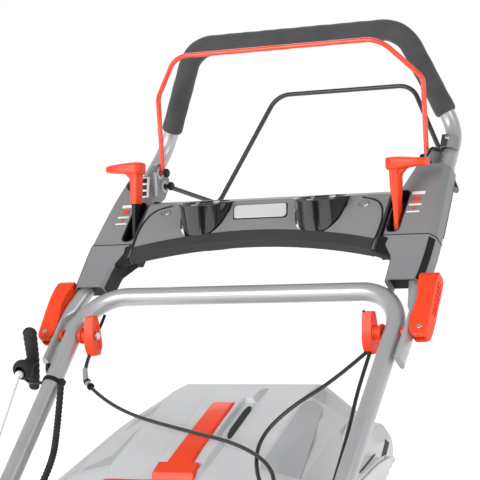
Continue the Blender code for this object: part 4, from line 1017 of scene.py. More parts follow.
def build_levers():
    for suffix, sign, top in (("l", 1.0, (0.073, 0.162)), ("r", -1.0, (0.088, 0.174))):
        base = corner(sign * LEVER_X, LEVER_PIVOT.y, LEVER_PIVOT.z)
        head = corner(sign * LEVER_X, top[0], top[1])
        lean = (head - base).normalized()
        across = lean.cross(X_AXIS).normalized()
        length = (head - base).length
        body = "control_lever_" + suffix

        def ring(point, thick, wide):
            return [point + X_AXIS * blunt(c, 0.4) * thick + across * blunt(d, 0.4) * wide
                    for c, d in around(32, 0.5)]

        def stem(low, high, grow):
            rows = []
            for k in range(17):
                f = low + (high - low) * k / 16
                rise = ease(min(max((f - 0.46) / 0.3, 0.0), 1.0))
                wide = 0.0062 + 0.0034 * f + grow
                rows.append(ring(base + lean * (f * length), 0.004 + 0.0028 * rise + grow, wide))
            return loft(rows)

        split = 0.12 if suffix == "l" else 0.6
        piece("lever_arm_" + suffix, stem(-0.06, split + 0.04, -0.0008), "black", body,
              angle=50.0)
        piece("lever_stem_" + suffix, stem(split, 0.97, 0.0), "red", body, angle=50.0)
        rows = []
        for dx, wide, under, over in ((-0.0108, 0.008, 0.006, 0.0072),
                                      (-0.009, 0.01, 0.0082, 0.0088),
                                      (0.0, 0.0112, 0.009, 0.0092), (0.01, 0.012, 0.0078, 0.0088),
                                      (0.02, 0.0124, 0.0062, 0.008), (0.032, 0.012, 0.005, 0.0068),
                                      (0.043, 0.0106, 0.0046, 0.0056),
                                      (0.0462, 0.0088, 0.0036, 0.0044)):
            middle = head + Vector((sign * dx, 0.0, 0.0))
            rows.append([middle + across * blunt(c, 0.36) * wide
                         + lean * blunt(d, 0.36) * (over if d > 0.0 else under)
                         for c, d in around(40, 0.5)])
        piece("lever_knob_" + suffix, loft(rows), "red", body,
              replaces=["control_lever_" + suffix], angle=60.0)
        web = []
        for d in (-0.005, 0.005):
            web.append([head + Vector((sign * dx, 0.0, 0.0)) + lean * rise + across * d
                        for dx, rise in ((0.0045, -0.026), (0.0045, -0.004), (0.025, -0.004),
                                         (0.016, -0.0075), (0.0095, -0.0135))])
        piece("lever_web_" + suffix, loft(web), "red", body, bevel=0.001)


def build_bails():
    def bow(right, radii):
        return resample(fillet(right + sided(right[::-1], -1.0), radii, 14), 0.004)

    pivot = RED_PIVOT
    path = bow(route((BAIL_END_X, pivot.y, pivot.z), (BAIL_X, pivot.y, pivot.z),
                (BAIL_X + 0.001, 0.17, 0.273), (0.162, 0.144, 0.33)),
               [0.004, 0.02, 0.045, 0.045, 0.02, 0.004])
    total = lengths(path)[-1]

    def flat(i, run):
        edge = min(run, total - run)
        f = 0.0
        if 0.085 < edge < 0.135:
            f = min((edge - 0.085) / 0.01, (0.135 - edge) / 0.01, 1.0)
        return [(a * (1.0 + 0.55 * f), b * (1.0 - 0.18 * f)) for a, b in circle(0.0035, 20)]

    piece("bail_red", loft(sweep_rings(path, flat, (0.0, 1.0, 0.0))), "wire_red", "red_bail",
          replaces=["red_bail"], angle=60.0)
    pivot = BLACK_PIVOT
    path = bow(route((BAIL_END_X, pivot.y, pivot.z), (BAIL_X, pivot.y, pivot.z),
                (0.197, 0.296, 0.107), (0.112, 0.351, 0.264)),
               [0.0045, 0.012, 0.035, 0.035, 0.012, 0.0045])
    piece("bail_black", tube(path, 0.0035, 20, side=(0.0, 1.0, 0.0)), "wire_black",
          "black_bail", replaces=["black_bail"], angle=60.0)


# --- rope, cables and conduit -------------------------------------------------------------------
def along_path(path, at):
    run = lengths(path)
    for i in range(1, len(path)):
        if run[i] >= at:
            f = (at - run[i - 1]) / (run[i] - run[i - 1])
            return path[i - 1].lerp(path[i], f), (path[i] - path[i - 1]).normalized()
    return path[-1], (path[-1] - path[-2]).normalized()


def sleeve(name, path, at, profile, mat, seg=24):
    centre, axis = along_path(path, at)
    return piece(name, lathe(profile, centre, axis, seg), mat, "chassis", bevel=0.0003)


def build_lines():
    guide = handle(-0.301, -0.13, 0.004)
    pull = Vector((0.0, 0.93, 0.37)).normalized()
    upright = Vector((0.26, -0.37, 0.93)).normalized()
    ring = [(0.0086, -0.0068)]
    for k in range(17):
        a = -math.pi / 2 + math.pi * k / 16
        ring.append((0.0112 + 0.0032 * math.cos(a), 0.007 * math.sin(a)))
    ring.append((0.0086, 0.007))
    piece("guide_ring", lathe(ring, guide, pull, 48), "rubber", "chassis",
          replaces=["rope_guide"], angle=50.0)
    lip = hoop(0.0028, 0.0088, 0.0048, 0.0066, guide, pull)
    piece("guide_lip", lip, "dark_grey", "chassis", bevel=0.0005)
    arm = flow([guide - upright * 0.0125, guide - upright * 0.022 + Vector((0.01, 0, 0)),
                handle(-0.278, -0.15, 0.002), handle(-0.259, -0.15, 0.0)], 0.004)
    piece("guide_arm", tube(arm, 0.0023, 14), "black", "chassis")
    band = hoop(LEG_R + 0.0002, LEG_R + 0.0016, -0.0032, 0.0032,
                handle(-LEG_X, -0.15, 0.0), SLOPE)
    lock = box(handle(-0.2285, -0.15, 0.002), X_AXIS, SLOPE, (0.008, 0.008, 0.007))
    piece("guide_band", merge([band, lock]), "black", "chassis", bevel=0.0004)
    cap = lathe([(0.0, 0.0), (0.0075, 0.0), (0.0082, 0.0012), (0.0076, 0.0038), (0.004, 0.0052),
                 (0.0, 0.0056)], handle(-LEG_X - 0.011, -0.128, 0.004), (-1.0, -0.25, 0.0), 32)
    piece("leg_cap", cap, "black", "chassis")

    seat = guide + pull * 0.0088
    stub = lathe([(0.0, 0.0), (0.0068, 0.0), (0.0076, 0.001), (0.0084, 0.006),
                  (0.0084, 0.012), (0.0, 0.015)], seat, pull, 36)
    bar_path = resample(fillet([seat + pull * 0.016 - upright * 0.047, seat + pull * 0.0195,
                                seat + pull * 0.016 + upright * 0.052], [0.1], 10), 0.0014)
    total = lengths(bar_path)[-1]

    def bar_ring(i, run):
        edge = min(run, total - run)
        f = math.sqrt(max(1.0 - (1.0 - min(edge / 0.007, 1.0)) ** 2, 0.0))
        size = 0.008 + 0.0022 * run / total + 0.00035 * math.sin(run * 700.0)
        size *= 0.35 + 0.65 * f
        return [(a, b * 0.86) for a, b in circle(size, 28)]

    grip = merge([stub, loft(sweep_rings(bar_path, bar_ring))])
    piece("pull_grip", grip, "rubber", "starter_grip", replaces=["starter_grip"], angle=50.0)

    engine_y = CRANK_Y - HANDLE_Y
    start = guide - pull * 0.0085
    rope = flow([start, corner(-0.292, -0.15, -0.135), corner(-0.262, -0.26, -0.212),
                 corner(-0.2, -0.48, -0.262), corner(-0.1262, engine_y, -0.284)], 0.0025)

    def braid(i, run):
        out = []
        for k in range(12):
            a = 2.0 * math.pi * (k + 0.5) / 12
            r = 0.0019 + 0.00022 * math.cos(3.0 * a + run * 900.0)
            out.append((r * math.cos(a), r * math.sin(a)))
        return out

    piece("rope", loft(sweep_rings(rope, braid)), "rope", "chassis", replaces=["starter_rope"],
          angle=70.0)
    sleeve("rope_knot", rope, 0.003, [(0.0012, -0.0036), (0.0046, -0.0032), (0.006, 0.0),
                                       (0.0048, 0.0032), (0.0012, 0.0036)], "rope")

    conduit = flow(route((-0.226, -0.116, -0.106), (-0.206, -0.16, -0.155),
                    (-0.19, -0.205, -0.203), (-0.185, -0.33, -0.286),
                    (-0.178, -0.43, -0.36), (-0.175, -0.62, -0.425),
                    (-0.165, -0.7, -0.44), (-0.12, -0.78, -0.44)),
                   0.0016)

    def corrugated(i, run):
        return circle(0.0048 if (i // 2) % 2 else 0.0042, 16)

    piece("conduit", loft(sweep_rings(conduit, corrugated)), "rubber", "chassis",
          replaces=["wiring_conduit"], angle=80.0)
    brake = flow(route((-0.216, -0.054, -0.072), (-0.219, -0.072, -0.095),
                  (-0.19, -0.096, -0.116),
                  (-0.12, -0.125, -0.142), (-0.02, -0.16, -0.155),
                  (0.105, -0.2, -0.168), (0.172, -0.24, -0.198),
                  (0.176, -0.31, -0.25), (0.176, -0.44, -0.298),
                  (0.15, -0.57, -0.318), (0.118, -0.78, -0.33)), 0.004)
    throttle = flow(route((0.211, -0.054, -0.07), (0.178, -0.092, -0.103),
                     (0.136, -0.135, -0.13), (0.114, -0.18, -0.16),
                     (0.126, -0.222, -0.192), (0.169, -0.268, -0.23),
                     (0.169, -0.44, -0.312), (0.14, -0.56, -0.335),
                     (0.088, -0.69, -0.345)), 0.004)
    drive = flow(route((0.214, -0.054, -0.07), (0.215, -0.1, -0.112),
                  (0.2205, -0.14, -0.152), (0.2262, -0.2, -0.205),
                  (0.2262, -0.32, -0.33), (0.2, -0.425, -0.425),
                  (0.175, -0.53, -0.461)), 0.004)
    for path, name in ((brake, "brake_cable"), (throttle, "throttle_cable"),
                       (drive, "drive_cable")):
        piece(name + "_sheath", tube(path, 0.0026, 14), "wire_black", "chassis",
              replaces=[name], angle=70.0)
    sleeve("brake_sleeve", brake, 0.036, [(0.0024, -0.012), (0.0036, -0.012),
                                          (0.0042, 0.01), (0.0024, 0.012)], "clear")
    for place, name in ((0.05, "a"), (0.0615, "c")):
        sleeve("brake_nut_" + name, brake, place,
               [(0.0024, -0.0016), (0.0052, -0.0016), (0.0052, 0.0016), (0.0024, 0.0016)],
               "black", seg=16)
    sleeve("brake_barrel", brake, 0.056, [(0.0024, -0.005), (0.0044, -0.005),
                                           (0.004, 0.005), (0.0024, 0.005)], "steel")

    # ties that hold the conduit and the cables to the legs
    for tag, sign, s in (("c", -1.0, -0.4), ("d", 1.0, -0.42)):
        tie = hoop(LEG_R + 0.0001, LEG_R + 0.0014, -0.002, 0.002,
                   handle(sign * LEG_X, s, 0.0), SLOPE)
        lock = box(handle(sign * (LEG_X - 0.0152), s, 0.0035), X_AXIS, SLOPE,
                   (0.0045, 0.005, 0.0052))
        piece("tie_" + tag, merge([tie, lock]), "black", "chassis", bevel=0.0003)


# --- grass catcher ------------------------------------------------------------------------------
def catcher_ring(y, widths, heights, grow=0.0):
    floor_x, side_x, top_x = widths
    floor_z, shoulder_z, top_z = heights
    inset = 0.004 + 0.024 * min(max((y - 0.3) / 0.11, 0.0), 1.0)
    tub_x = side_x - inset
    half = [(top_x, top_z), ((top_x + side_x) * 0.5 + 0.006, (top_z + shoulder_z) * 0.5 + 0.006),
            (side_x, shoulder_z), (side_x - 0.002, shoulder_z - 0.015),
            (tub_x, shoulder_z - 0.029), (min(floor_x, tub_x + 0.002), floor_z + 0.012),
            (min(floor_x, tub_x + 0.002) - 0.014, floor_z)]
    half = [(x + grow, z + (grow if i < 3 else 0.0)) for i, (x, z) in enumerate(half)]
    return ([Vector((x, y, z)) for x, z in half]
            + [Vector((-x, y, z)) for x, z in reversed(half)])


CATCHER = [(0.062, (0.15, 0.156, 0.14), (0.186, 0.296, 0.318)),
           (0.15, (0.195, 0.205, 0.12), (0.14, 0.33, 0.378)),
           (0.266, (0.2, 0.219, 0.108), (0.118, 0.42, 0.456)),
           (0.39, (0.2, 0.219, 0.104), (0.112, 0.45, 0.513)),
           (0.43, (0.2, 0.216, 0.104), (0.112, 0.452, 0.529)),
           (0.47, (0.192, 0.204, 0.102), (0.114, 0.446, 0.5365)),
           (0.5, (0.18, 0.19, 0.096), (0.118, 0.436, 0.531)),
           (0.55, (0.148, 0.158, 0.082), (0.13, 0.42, 0.486)),
           (0.6, (0.118, 0.13, 0.064), (0.15, 0.396, 0.436))]


def catcher_at(y):
    for a, b in zip(CATCHER, CATCHER[1:]):
        if y <= b[0]:
            f = (y - a[0]) / (b[0] - a[0])
            mix = [tuple(u + (v - u) * f for u, v in zip(p, q)) for p, q in zip(a[1:], b[1:])]
            return (y, mix[0], mix[1])
    return CATCHER[-1]


def top_z(y):
    return catcher_at(y)[2][2]


def build_catcher():
    outer = [catcher_ring(*station) for station in CATCHER]
    inner = []
    for y, widths, heights in CATCHER:
        y_in = min(y, CATCHER[-1][0] - 0.004)
        slim = [w - 0.003 for w in widths]
        inner.append(catcher_ring(y_in, slim, (heights[0] + 0.003, heights[1] - 0.0015,
                                               heights[2] - 0.003)))
    bm = bmesh.new()
    loops = [[bm.verts.new(p) for p in ring] for ring in outer + inner[::-1]]
    count, middle = len(loops[0]), len(outer)
    for index in range(len(loops)):
        following = (index + 1) % len(loops)
        if index == middle - 1:
            continue
        for i in range(count):
            j = (i + 1) % count
            bm.faces.new((loops[index][i], loops[index][j], loops[following][j],
                          loops[following][i]))
    bm.faces.new(loops[middle - 1])
    bm.faces.new(list(reversed(loops[middle])))
    cuts = []
    for sign in (1.0, -1.0):
        for k in range(7):
            y = 0.2 + 0.026 * k
            cuts.append(box((sign * 0.2165, y, 0.255), (0, 1, 0), X_AXIS, (0.009, 0.11, 0.03)))
    for k in range(7):
        cuts.append(box((-0.06 + 0.02 * k, 0.6, 0.29), X_AXIS, (0, 1, 0),
                        (0.008, 0.12, 0.03)))
    piece("catcher_shell", bm, "light", "catcher", replaces=["catcher", "catcher_lid"],
          bevel=0.0022, segs=3, angle=12.0, cuts=cuts)

    # rim along the lid's lower edge on both sides
    seam = []
    for y in [0.075 + 0.0175 * k for k in range(31)]:
        station = catcher_at(y)
        seam.append(Vector((station[1][1] + 0.0004, y, station[2][1] - 0.006)))
    for sign, tag in SIDES:
        flange = sweep_rings(sided(seam, sign), lambda i, run: [
            (-0.0022, -0.0018), (0.0022, -0.0018), (0.0022, 0.0018), (-0.0022, 0.0018)])
        piece("catcher_flange_" + tag, loft(flange), "light", "catcher", bevel=0.0008)

    # hump along the crown that carries the red handle
    rows = []
    for y, half, tall in ((0.252, 0.03, 0.0015), (0.262, 0.0325, 0.006), (0.3, 0.0335, 0.0075),
                          (0.35, 0.034, 0.008), (0.4, 0.035, 0.008), (0.43, 0.0355, 0.006),
                          (0.452, 0.034, 0.002)):
        z = top_z(y)
        rows.append(wedge(0.0, y, z - 0.004, z + tall, half + 0.008, half, y - 0.002))
    recess = []
    for y, half in ((0.318, 0.01), (0.33, 0.013), (0.395, 0.013), (0.408, 0.01)):
        z = top_z(y)
        recess.append(wedge(0.0345, y, z + 0.001, z + 0.03, half, half))
    piece("catcher_hump", loft(rows), "light", "catcher", bevel=0.0022, segs=3, angle=25.0,
          cuts=[loft(recess)])
    strip = []
    for y, half, tall in ((0.258, 0.0195, 0.006), (0.264, 0.02, 0.0095), (0.3, 0.019, 0.0105),
                          (0.35, 0.018, 0.0105), (0.39, 0.0172, 0.01), (0.398, 0.0165, 0.0075)):
        z = top_z(y) + 0.006
        strip.append(wedge(0.0, y, z, z + tall - 0.005, half, half * 0.88, y - 0.003))
    piece("catcher_grip", loft(strip), "red", "catcher", replaces=["catcher_handle"],
          bevel=0.0018, segs=3, angle=25.0)
    block = []
    for x in (-0.031, -0.029, 0.029, 0.031):
        s = 0.82 if abs(x) > 0.03 else 1.0
        block.append([Vector((x, 0.247, 0.4465)), Vector((x, 0.268, 0.458)),
                      Vector((x, 0.268, 0.458 + 0.0105 * s)),
                      Vector((x, 0.25, 0.448 + 0.01 * s))])
    piece("catcher_block", loft(block), "red", "catcher", bevel=0.0018, segs=3)
    band = []
    for k in range(25):
        x = -0.122 + 0.244 * k / 24
        z = top_z(0.246) - 0.0004 - max(abs(x) - 0.1, 0.0) * 0.32
        band.append([Vector((x, 0.2415, z - 0.003)), Vector((x, 0.25, z + 0.003)),
                     Vector((x, 0.249, z + 0.0062)), Vector((x, 0.24, z + 0.0005))])
    piece("catcher_band", loft(band), "red", "catcher", bevel=0.0009)

    # thin darker panels either side of the crown: painted shade on the steep facets
    for sign, tag in SIDES:
        rows = []
        for y, f in ((0.275, 0.42), (0.3, 0.5), (0.35, 0.64), (0.4, 0.78), (0.44, 0.9),
                     (0.466, 0.98)):
            widths, heights = catcher_at(y)[1:]
            top = Vector((widths[2], y, heights[2]))
            knee = Vector(((widths[2] + widths[1]) * 0.5 + 0.006, y,
                           (heights[2] + heights[1]) * 0.5 + 0.006))
            near, far = top.lerp(knee, 0.06), top.lerp(knee, 1.0 - 0.75 * (f - 0.42) / 0.56)
            lift = Vector((0.0004, 0.0, 0.0007))
            rows.append(sided((near - lift, far - lift, far + lift, near + lift), sign))
        piece("catcher_shade_panel_" + tag, loft(rows), "shade", "catcher", bevel=0.0004)

    # dark strip in the finger recess in the flank of the hump: painted shade in the recess
    rows = []
    for y, f in ((0.33, 0.3), (0.334, 0.75), (0.342, 1.0), (0.38, 1.0), (0.39, 0.75),
                 (0.395, 0.3)):
        z = top_z(y)
        low, high = Vector((0.0412, y, z - 0.0016)), Vector((0.0352, y, z + 0.0066))
        middle = low.lerp(high, 0.5)
        low, high = middle.lerp(low, f), middle.lerp(high, f)
        rows.append([low, low + Vector((0.0009, 0, 0.0006)), high + Vector((0.0009, 0, 0.0006)),
                     high])
    piece("hump_recess_shade", loft(rows), "dark_grey", "catcher", bevel=0.0003)

    # boss with a dark window on the +X flank, and a row of fine slits in front of it drawn as dark
    # blocks whose dark is painted shade of the openings
    rows = []
    for y, f in ((0.37, 0.35), (0.385, 0.75), (0.405, 1.0), (0.45, 1.0), (0.46, 0.8)):
        rows.append([Vector((0.185 + (x - 0.185) * f, y, 0.452 + (z - 0.452) * f))
                     for x, z in ((0.172, 0.43), (0.203, 0.43), (0.216, 0.449),
                                  (0.2145, 0.469), (0.203, 0.488), (0.172, 0.494))])
    piece("flank_boss", loft(rows), "light", "catcher", bevel=0.0025, segs=3, angle=20.0)
    window = []
    for d in (-0.003, 0.0008):
        window.append([Vector((x + d, y, z)) for x, y, z in
                       ((0.2158, 0.412, 0.452), (0.2158, 0.423, 0.448),
                        (0.2146, 0.44, 0.465), (0.214, 0.431, 0.471))])
    piece("flank_window", loft(window), "dark_grey", "catcher", bevel=0.0006)
    slits = []
    for k in range(9):
        f = k / 8
        at = Vector((0.2165, 0.351, 0.445)).lerp(Vector((0.214, 0.392, 0.456)), f)
        slits.append(box(at, (0.0, 1.0, 0.35), (1.0, 0.0, 0.8), (0.0018, 0.0018, 0.008)))
    piece("flank_vents_shade", merge(slits), "dark_grey", "catcher", bevel=0.0002)


# --- wheels -----------------------------------------------------------------------------------
def build_wheel(name, axle, x_range, radius, sign, tag):
    inner, outer = x_range
    width = outer - inner
    middle = (inner + outer) * 0.5
    axis = Vector((sign, 0.0, 0.0))
    body = name + "_wheel_" + tag
    rim = radius * 0.8
    base = radius * 0.955
    carcass = []
    for k in range(25):
        a = math.pi * k / 24
        across = -math.cos(a)
        r = rim + 0.0015 + (base - rim - 0.0015) * (math.sin(a) ** 0.42)
        carcass.append((r, middle + across * (width * 0.5 - 0.0006)))
    piece("tyre_body_" + name + "_" + tag, lathe(carcass, axle, axis, 96), "tyre", body,
          replaces=["tyre_" + name + "_" + tag], angle=50.0)
    side = Vector((0.0, 1.0, 0.0))
    up = axis.cross(side)
    lugs = []
    count = 30 if radius > 0.12 else 24
    for k in range(count):
        for row, shift in ((-1, 0.0), (1, 0.5)):
            a = 2.0 * math.pi * (k + shift) / count
            out = side * math.cos(a) + up * math.sin(a)
            turn = out.cross(axis)
            lean = (axis + turn * 0.35 * row).normalized()
            centre = axle + axis * (middle + row * width * 0.21) + out * (radius * 0.978)
            lugs.append(box(centre, lean, out, (width * 0.36, radius * 0.085, radius * 0.036)))
    piece("tyre_lugs_" + name + "_" + tag, merge(lugs), "tyre", body, bevel=0.0009)
    hub = [(0.0, outer - 0.001), (radius * 0.15, outer - 0.001), (radius * 0.19, outer - 0.003),
           (radius * 0.22, outer - 0.01), (radius * 0.3, outer - 0.0135),
           (radius * 0.62, outer - 0.015), (radius * 0.7, outer - 0.01),
           (rim - 0.004, outer - 0.0055), (rim + 0.001, outer - 0.004),
           (rim + 0.001, inner + 0.004),
           (rim - 0.006, inner + 0.005), (radius * 0.66, inner + 0.012),
           (radius * 0.24, inner + 0.008), (radius * 0.18, inner + 0.001), (0.0086, inner + 0.001),
           (0.0086, outer - 0.008), (0.0, outer - 0.008)]
    piece("rim_" + name + "_" + tag, lathe(hub, axle, axis, 72), "light", body,
          replaces=["hub_" + name + "_" + tag], angle=35.0)
    spokes = []
    for c, d in around(8):
        out = side * c + up * d
        turn = out.cross(axis)
        rows = []
        for r, half, rise in ((0.2, 0.055, 0.009), (0.34, 0.04, 0.0115), (0.6, 0.048, 0.0125),
                              (0.7, 0.062, 0.01)):
            at = axle + out * (radius * r)
            low = at + axis * (outer - 0.0155)
            high = at + axis * (outer - 0.0155 + rise * 0.75)
            w = radius * half
            rows.append([low - turn * w, low + turn * w, high + turn * w * 0.7,
                         high - turn * w * 0.7])
        spokes.append(loft(rows))
    piece("spokes_" + name + "_" + tag, merge(spokes), "light", body, bevel=0.001)
    cap = lathe([(0.0, outer), (radius * 0.1, outer - 0.0004), (radius * 0.135, outer - 0.0022),
                 (radius * 0.135, outer - 0.005), (0.0, outer - 0.005)], axle, axis, 40)
    piece("wheel_cap_" + name + "_" + tag, cap, "red" if name == "rear" else "dark_grey", body)


def build_wheels():
    for sign, tag in SIDES:
        build_wheel("front", Vector((0.0, FRONT_WHEEL_Y, FRONT_WHEEL_R)), (0.276, 0.318),
                    FRONT_WHEEL_R, sign, tag)
        build_wheel("rear", Vector((0.0, REAR_WHEEL_Y, REAR_WHEEL_R)), (0.276, 0.3225),
                    REAR_WHEEL_R, sign, tag)


# --- deck, engine and the rest ------------------------------------------------------------------
def finish_node(name, mat, bevel=0.0, segs=2, angle=35.0):
    """A CAD node that stays: welded, edges softened, procedural finish."""
    node = NODES[name]
    node.data.materials.clear()
    node.data.materials.append(MATERIALS[mat])
    if "custom_normal" in node.data.attributes:
        node.data.attributes.remove(node.data.attributes["custom_normal"])
    for poly in node.data.polygons:
        poly.use_smooth = True
    weld = node.modifiers.new("weld", "WELD")
    weld.merge_threshold = 0.00002
    soft = node.modifiers.new("soft_edges", "BEVEL")
    soft.width = bevel if bevel > 0.0 else 0.0003
    soft.segments = segs
    soft.limit_method = "ANGLE"
    soft.angle_limit = math.radians(angle)
    soft.harden_normals = True


def build_chassis():
    for name, mat, bevel in (
            ("deck_shell", "deck", 0.0014), ("discharge_tunnel", "deck", 0.0012),
            ("front_apron", "deck", 0.0014), ("front_axle", "steel", 0.0006),
            ("rear_axle", "steel", 0.0006), ("engine_block", "alloy", 0.0008),
            ("crankshaft", "steel", 0.0008), ("blade", "steel", 0.0004),
            ("blade_boss", "alloy", 0.0006), ("blade_bolt", "steel", 0.0006),
            ("drive_belt", "rubber", 0.0004), ("gearbox", "alloy", 0.0014),
            ("gearbox_pulley", "steel", 0.0005), ("fuel_tank", "engine", 0.006),
            ("muffler", "heat", 0.005), ("air_filter_cover", "engine", 0.005),
            ("oil_cap", "gloss_black", 0.0008), ("deck_bracket_l", "deck", 0.001),
            ("deck_bracket_r", "deck", 0.001), ("flap_pin", "steel", 0.0004),
            ("rear_flap", "dark_grey", 0.0008)):
        finish_node(name, mat, bevel, 3 if bevel > 0.004 else 2)

    # deck: bead round its skirt, and bolts
    power = 2.0 / 7.0
    bead = [Vector((blunt(c, power) * 0.2452, -0.3475 + blunt(d, power) * 0.3058, 0.0575))
            for c, d in around(96, 0.5)]
    rings = sweep_rings(bead + [bead[0]], lambda i, run: circle(0.0026, 10), (0, 0, 1))
    piece("deck_bead", loft(rings[:-1], closed=True), "deck", "chassis", angle=60.0)
    bolts("engine_bolt_", [(x, y, DECK_TOP_Z + 0.0125) for x, y in
                           ((0.074, -0.484), (-0.074, -0.484), (0.074, -0.336),
                            (-0.06, -0.33))], UP, 0.0055, 0.006)
    bolts("deck_bolt_", [(x, y, DECK_TOP_Z - 0.0004) for x, y in
                         ((0.185, -0.56), (-0.185, -0.56), (0.185, -0.48), (-0.185, -0.48))],
          UP, 0.005, 0.005)
    for sign, tag in SIDES:
        bolts("bracket_bolt_" + tag, [(sign * 0.2325, y, 0.2105) for y in (-0.196, -0.12)],
              (sign, 0, 0), 0.0045, 0.005)
        # foot knob with finger lobes
        foot = handle(0.0, FOOT_S, 0.0)
        lobes = lathe([(0.0, 0.2588), (0.012, 0.2588), (0.0144, 0.2604), (0.0146, 0.268),
                       (0.013, 0.2712), (0.008, 0.273), (0.0, 0.273)],
                      (0.0, foot.y, foot.z), (sign, 0, 0), 60,
                      wobble=lambda a, r: r * (1.0 - (0.07 if r > 0.01 else 0.0)
                                               * (0.5 - 0.5 * math.cos(5.0 * a))))
        piece("foot_knob_" + tag, lobes, "black", "chassis", replaces=["foot_bolt_" + tag],
              angle=40.0)
        shank = disc(0.0038, 0.224, 0.259, (0.0, foot.y, foot.z), (sign, 0, 0), 20)
        piece("foot_shank_" + tag, shank, "steel", "chassis")
        nut = disc(0.0068, 0.2185, 0.2243, (0.0, foot.y, foot.z), (sign, 0, 0), 6)
        piece("foot_nut_" + tag, nut, "steel", "chassis", bevel=0.0004)

    # ribs on the front cover, the discharge tunnel and the rear flap
    for k in range(5):
        x = -0.15 + 0.075 * k
        rib = loft([wedge(x, y, z, z + 0.003, 0.01 * g, 0.006 * g) for y, z, g in
                    ((-0.775, 0.1512, 0.7), (-0.74, 0.1634, 1.0), (-0.712, 0.1733, 0.7))])
        piece("apron_rib_%d" % k, rib, "deck", "chassis", bevel=0.0012)
        slope = (0.327 - 0.2134) / (0.05 + 0.195)
        rows = []
        for y in (-0.185, -0.18, 0.03, 0.036):
            z = 0.2134 + (y + 0.195) * slope
            g = 0.6 if y in (-0.185, 0.036) else 1.0
            rows.append(wedge(x * 0.8, y, z - 0.001, z + 0.003 * g, 0.008 * g, 0.005 * g))
        piece("tunnel_rib_%d" % k, loft(rows), "deck", "chassis", bevel=0.001)
    along = Vector((0.0, math.cos(FLAP_SLOPE), math.sin(FLAP_SLOPE)))
    off = Vector((0.0, -math.sin(FLAP_SLOPE), math.cos(FLAP_SLOPE)))
    for k in range(9):
        x = -0.12 + 0.03 * k
        middle = Vector((x, FLAP_HINGE.y, FLAP_HINGE.z)) + along * 0.08 + off * 0.0018
        rib = box(middle, along, off, (0.11, 0.0035, 0.0022))
        piece("flap_rib_%d" % k, rib, "dark_grey", "rear_flap", bevel=0.0006)
    for sign, tag in SIDES:
        coil = []
        for k in range(97):
            a = 2.0 * math.pi * 6 * k / 96
            coil.append(FLAP_HINGE + Vector((sign * (0.101 + 0.017 * k / 96),
                                        0.0062 * math.cos(a), 0.0062 * math.sin(a) + 0.002)))
        piece("flap_spring_" + tag, tube(coil, 0.0009, 8), "steel", "rear_flap", angle=60.0)

    # height lever
    pivot = Vector((0.17, -0.15, 0.225))
    hub = lathe([(0.0, -0.006), (0.0115, -0.006), (0.0125, -0.005), (0.0125, 0.005),
                 (0.0115, 0.006), (0.0, 0.006)], pivot, X_AXIS, 36)
    stalk = tube(resample(fillet([pivot + Vector((0.0, 0.004, 0.004)),
                                  pivot + Vector((0.0, 0.02, 0.07)),
                                  pivot + Vector((0.0, 0.034, 0.118))], [0.05], 8), 0.006),
                 0.0046, 20)
    piece("height_stalk", merge([hub, stalk]), "steel", "height_lever",
          replaces=["height_lever"], angle=40.0)
    way = Vector((0.0, 0.28, 0.96)).normalized()
    grip = []
    for k in range(25):
        f = k / 24.0
        r = 0.0085 + 0.0045 * math.sin(math.pi * f) ** 0.8
        r += 0.0004 * math.cos(f * 2.0 * math.pi * 6.0)
        if f < 0.04 or f > 0.96:
            r *= 0.72
        grip.append((r, 0.06 * f))
    grip = [(0.0, 0.0)] + grip + [(0.0, 0.0605)]
    piece("height_grip", lathe(grip, pivot + Vector((0.0, 0.031, 0.108)), way, 36), "red",
          "height_lever", angle=50.0)
    plate = []
    for k in range(17):
        a = math.radians(20.0 + 80.0 * k / 16)
        reach = 0.066 - (0.004 if k % 3 == 1 else 0.0)
        plate.append((-0.15 + math.cos(a) * reach, 0.225 + math.sin(a) * reach))
    plate += [(-0.162, 0.225), (-0.15, 0.214), (-0.13, 0.222)]
    piece("height_quadrant", prism(plate, 0.1575, 0.161), "steel", "chassis", bevel=0.0005)


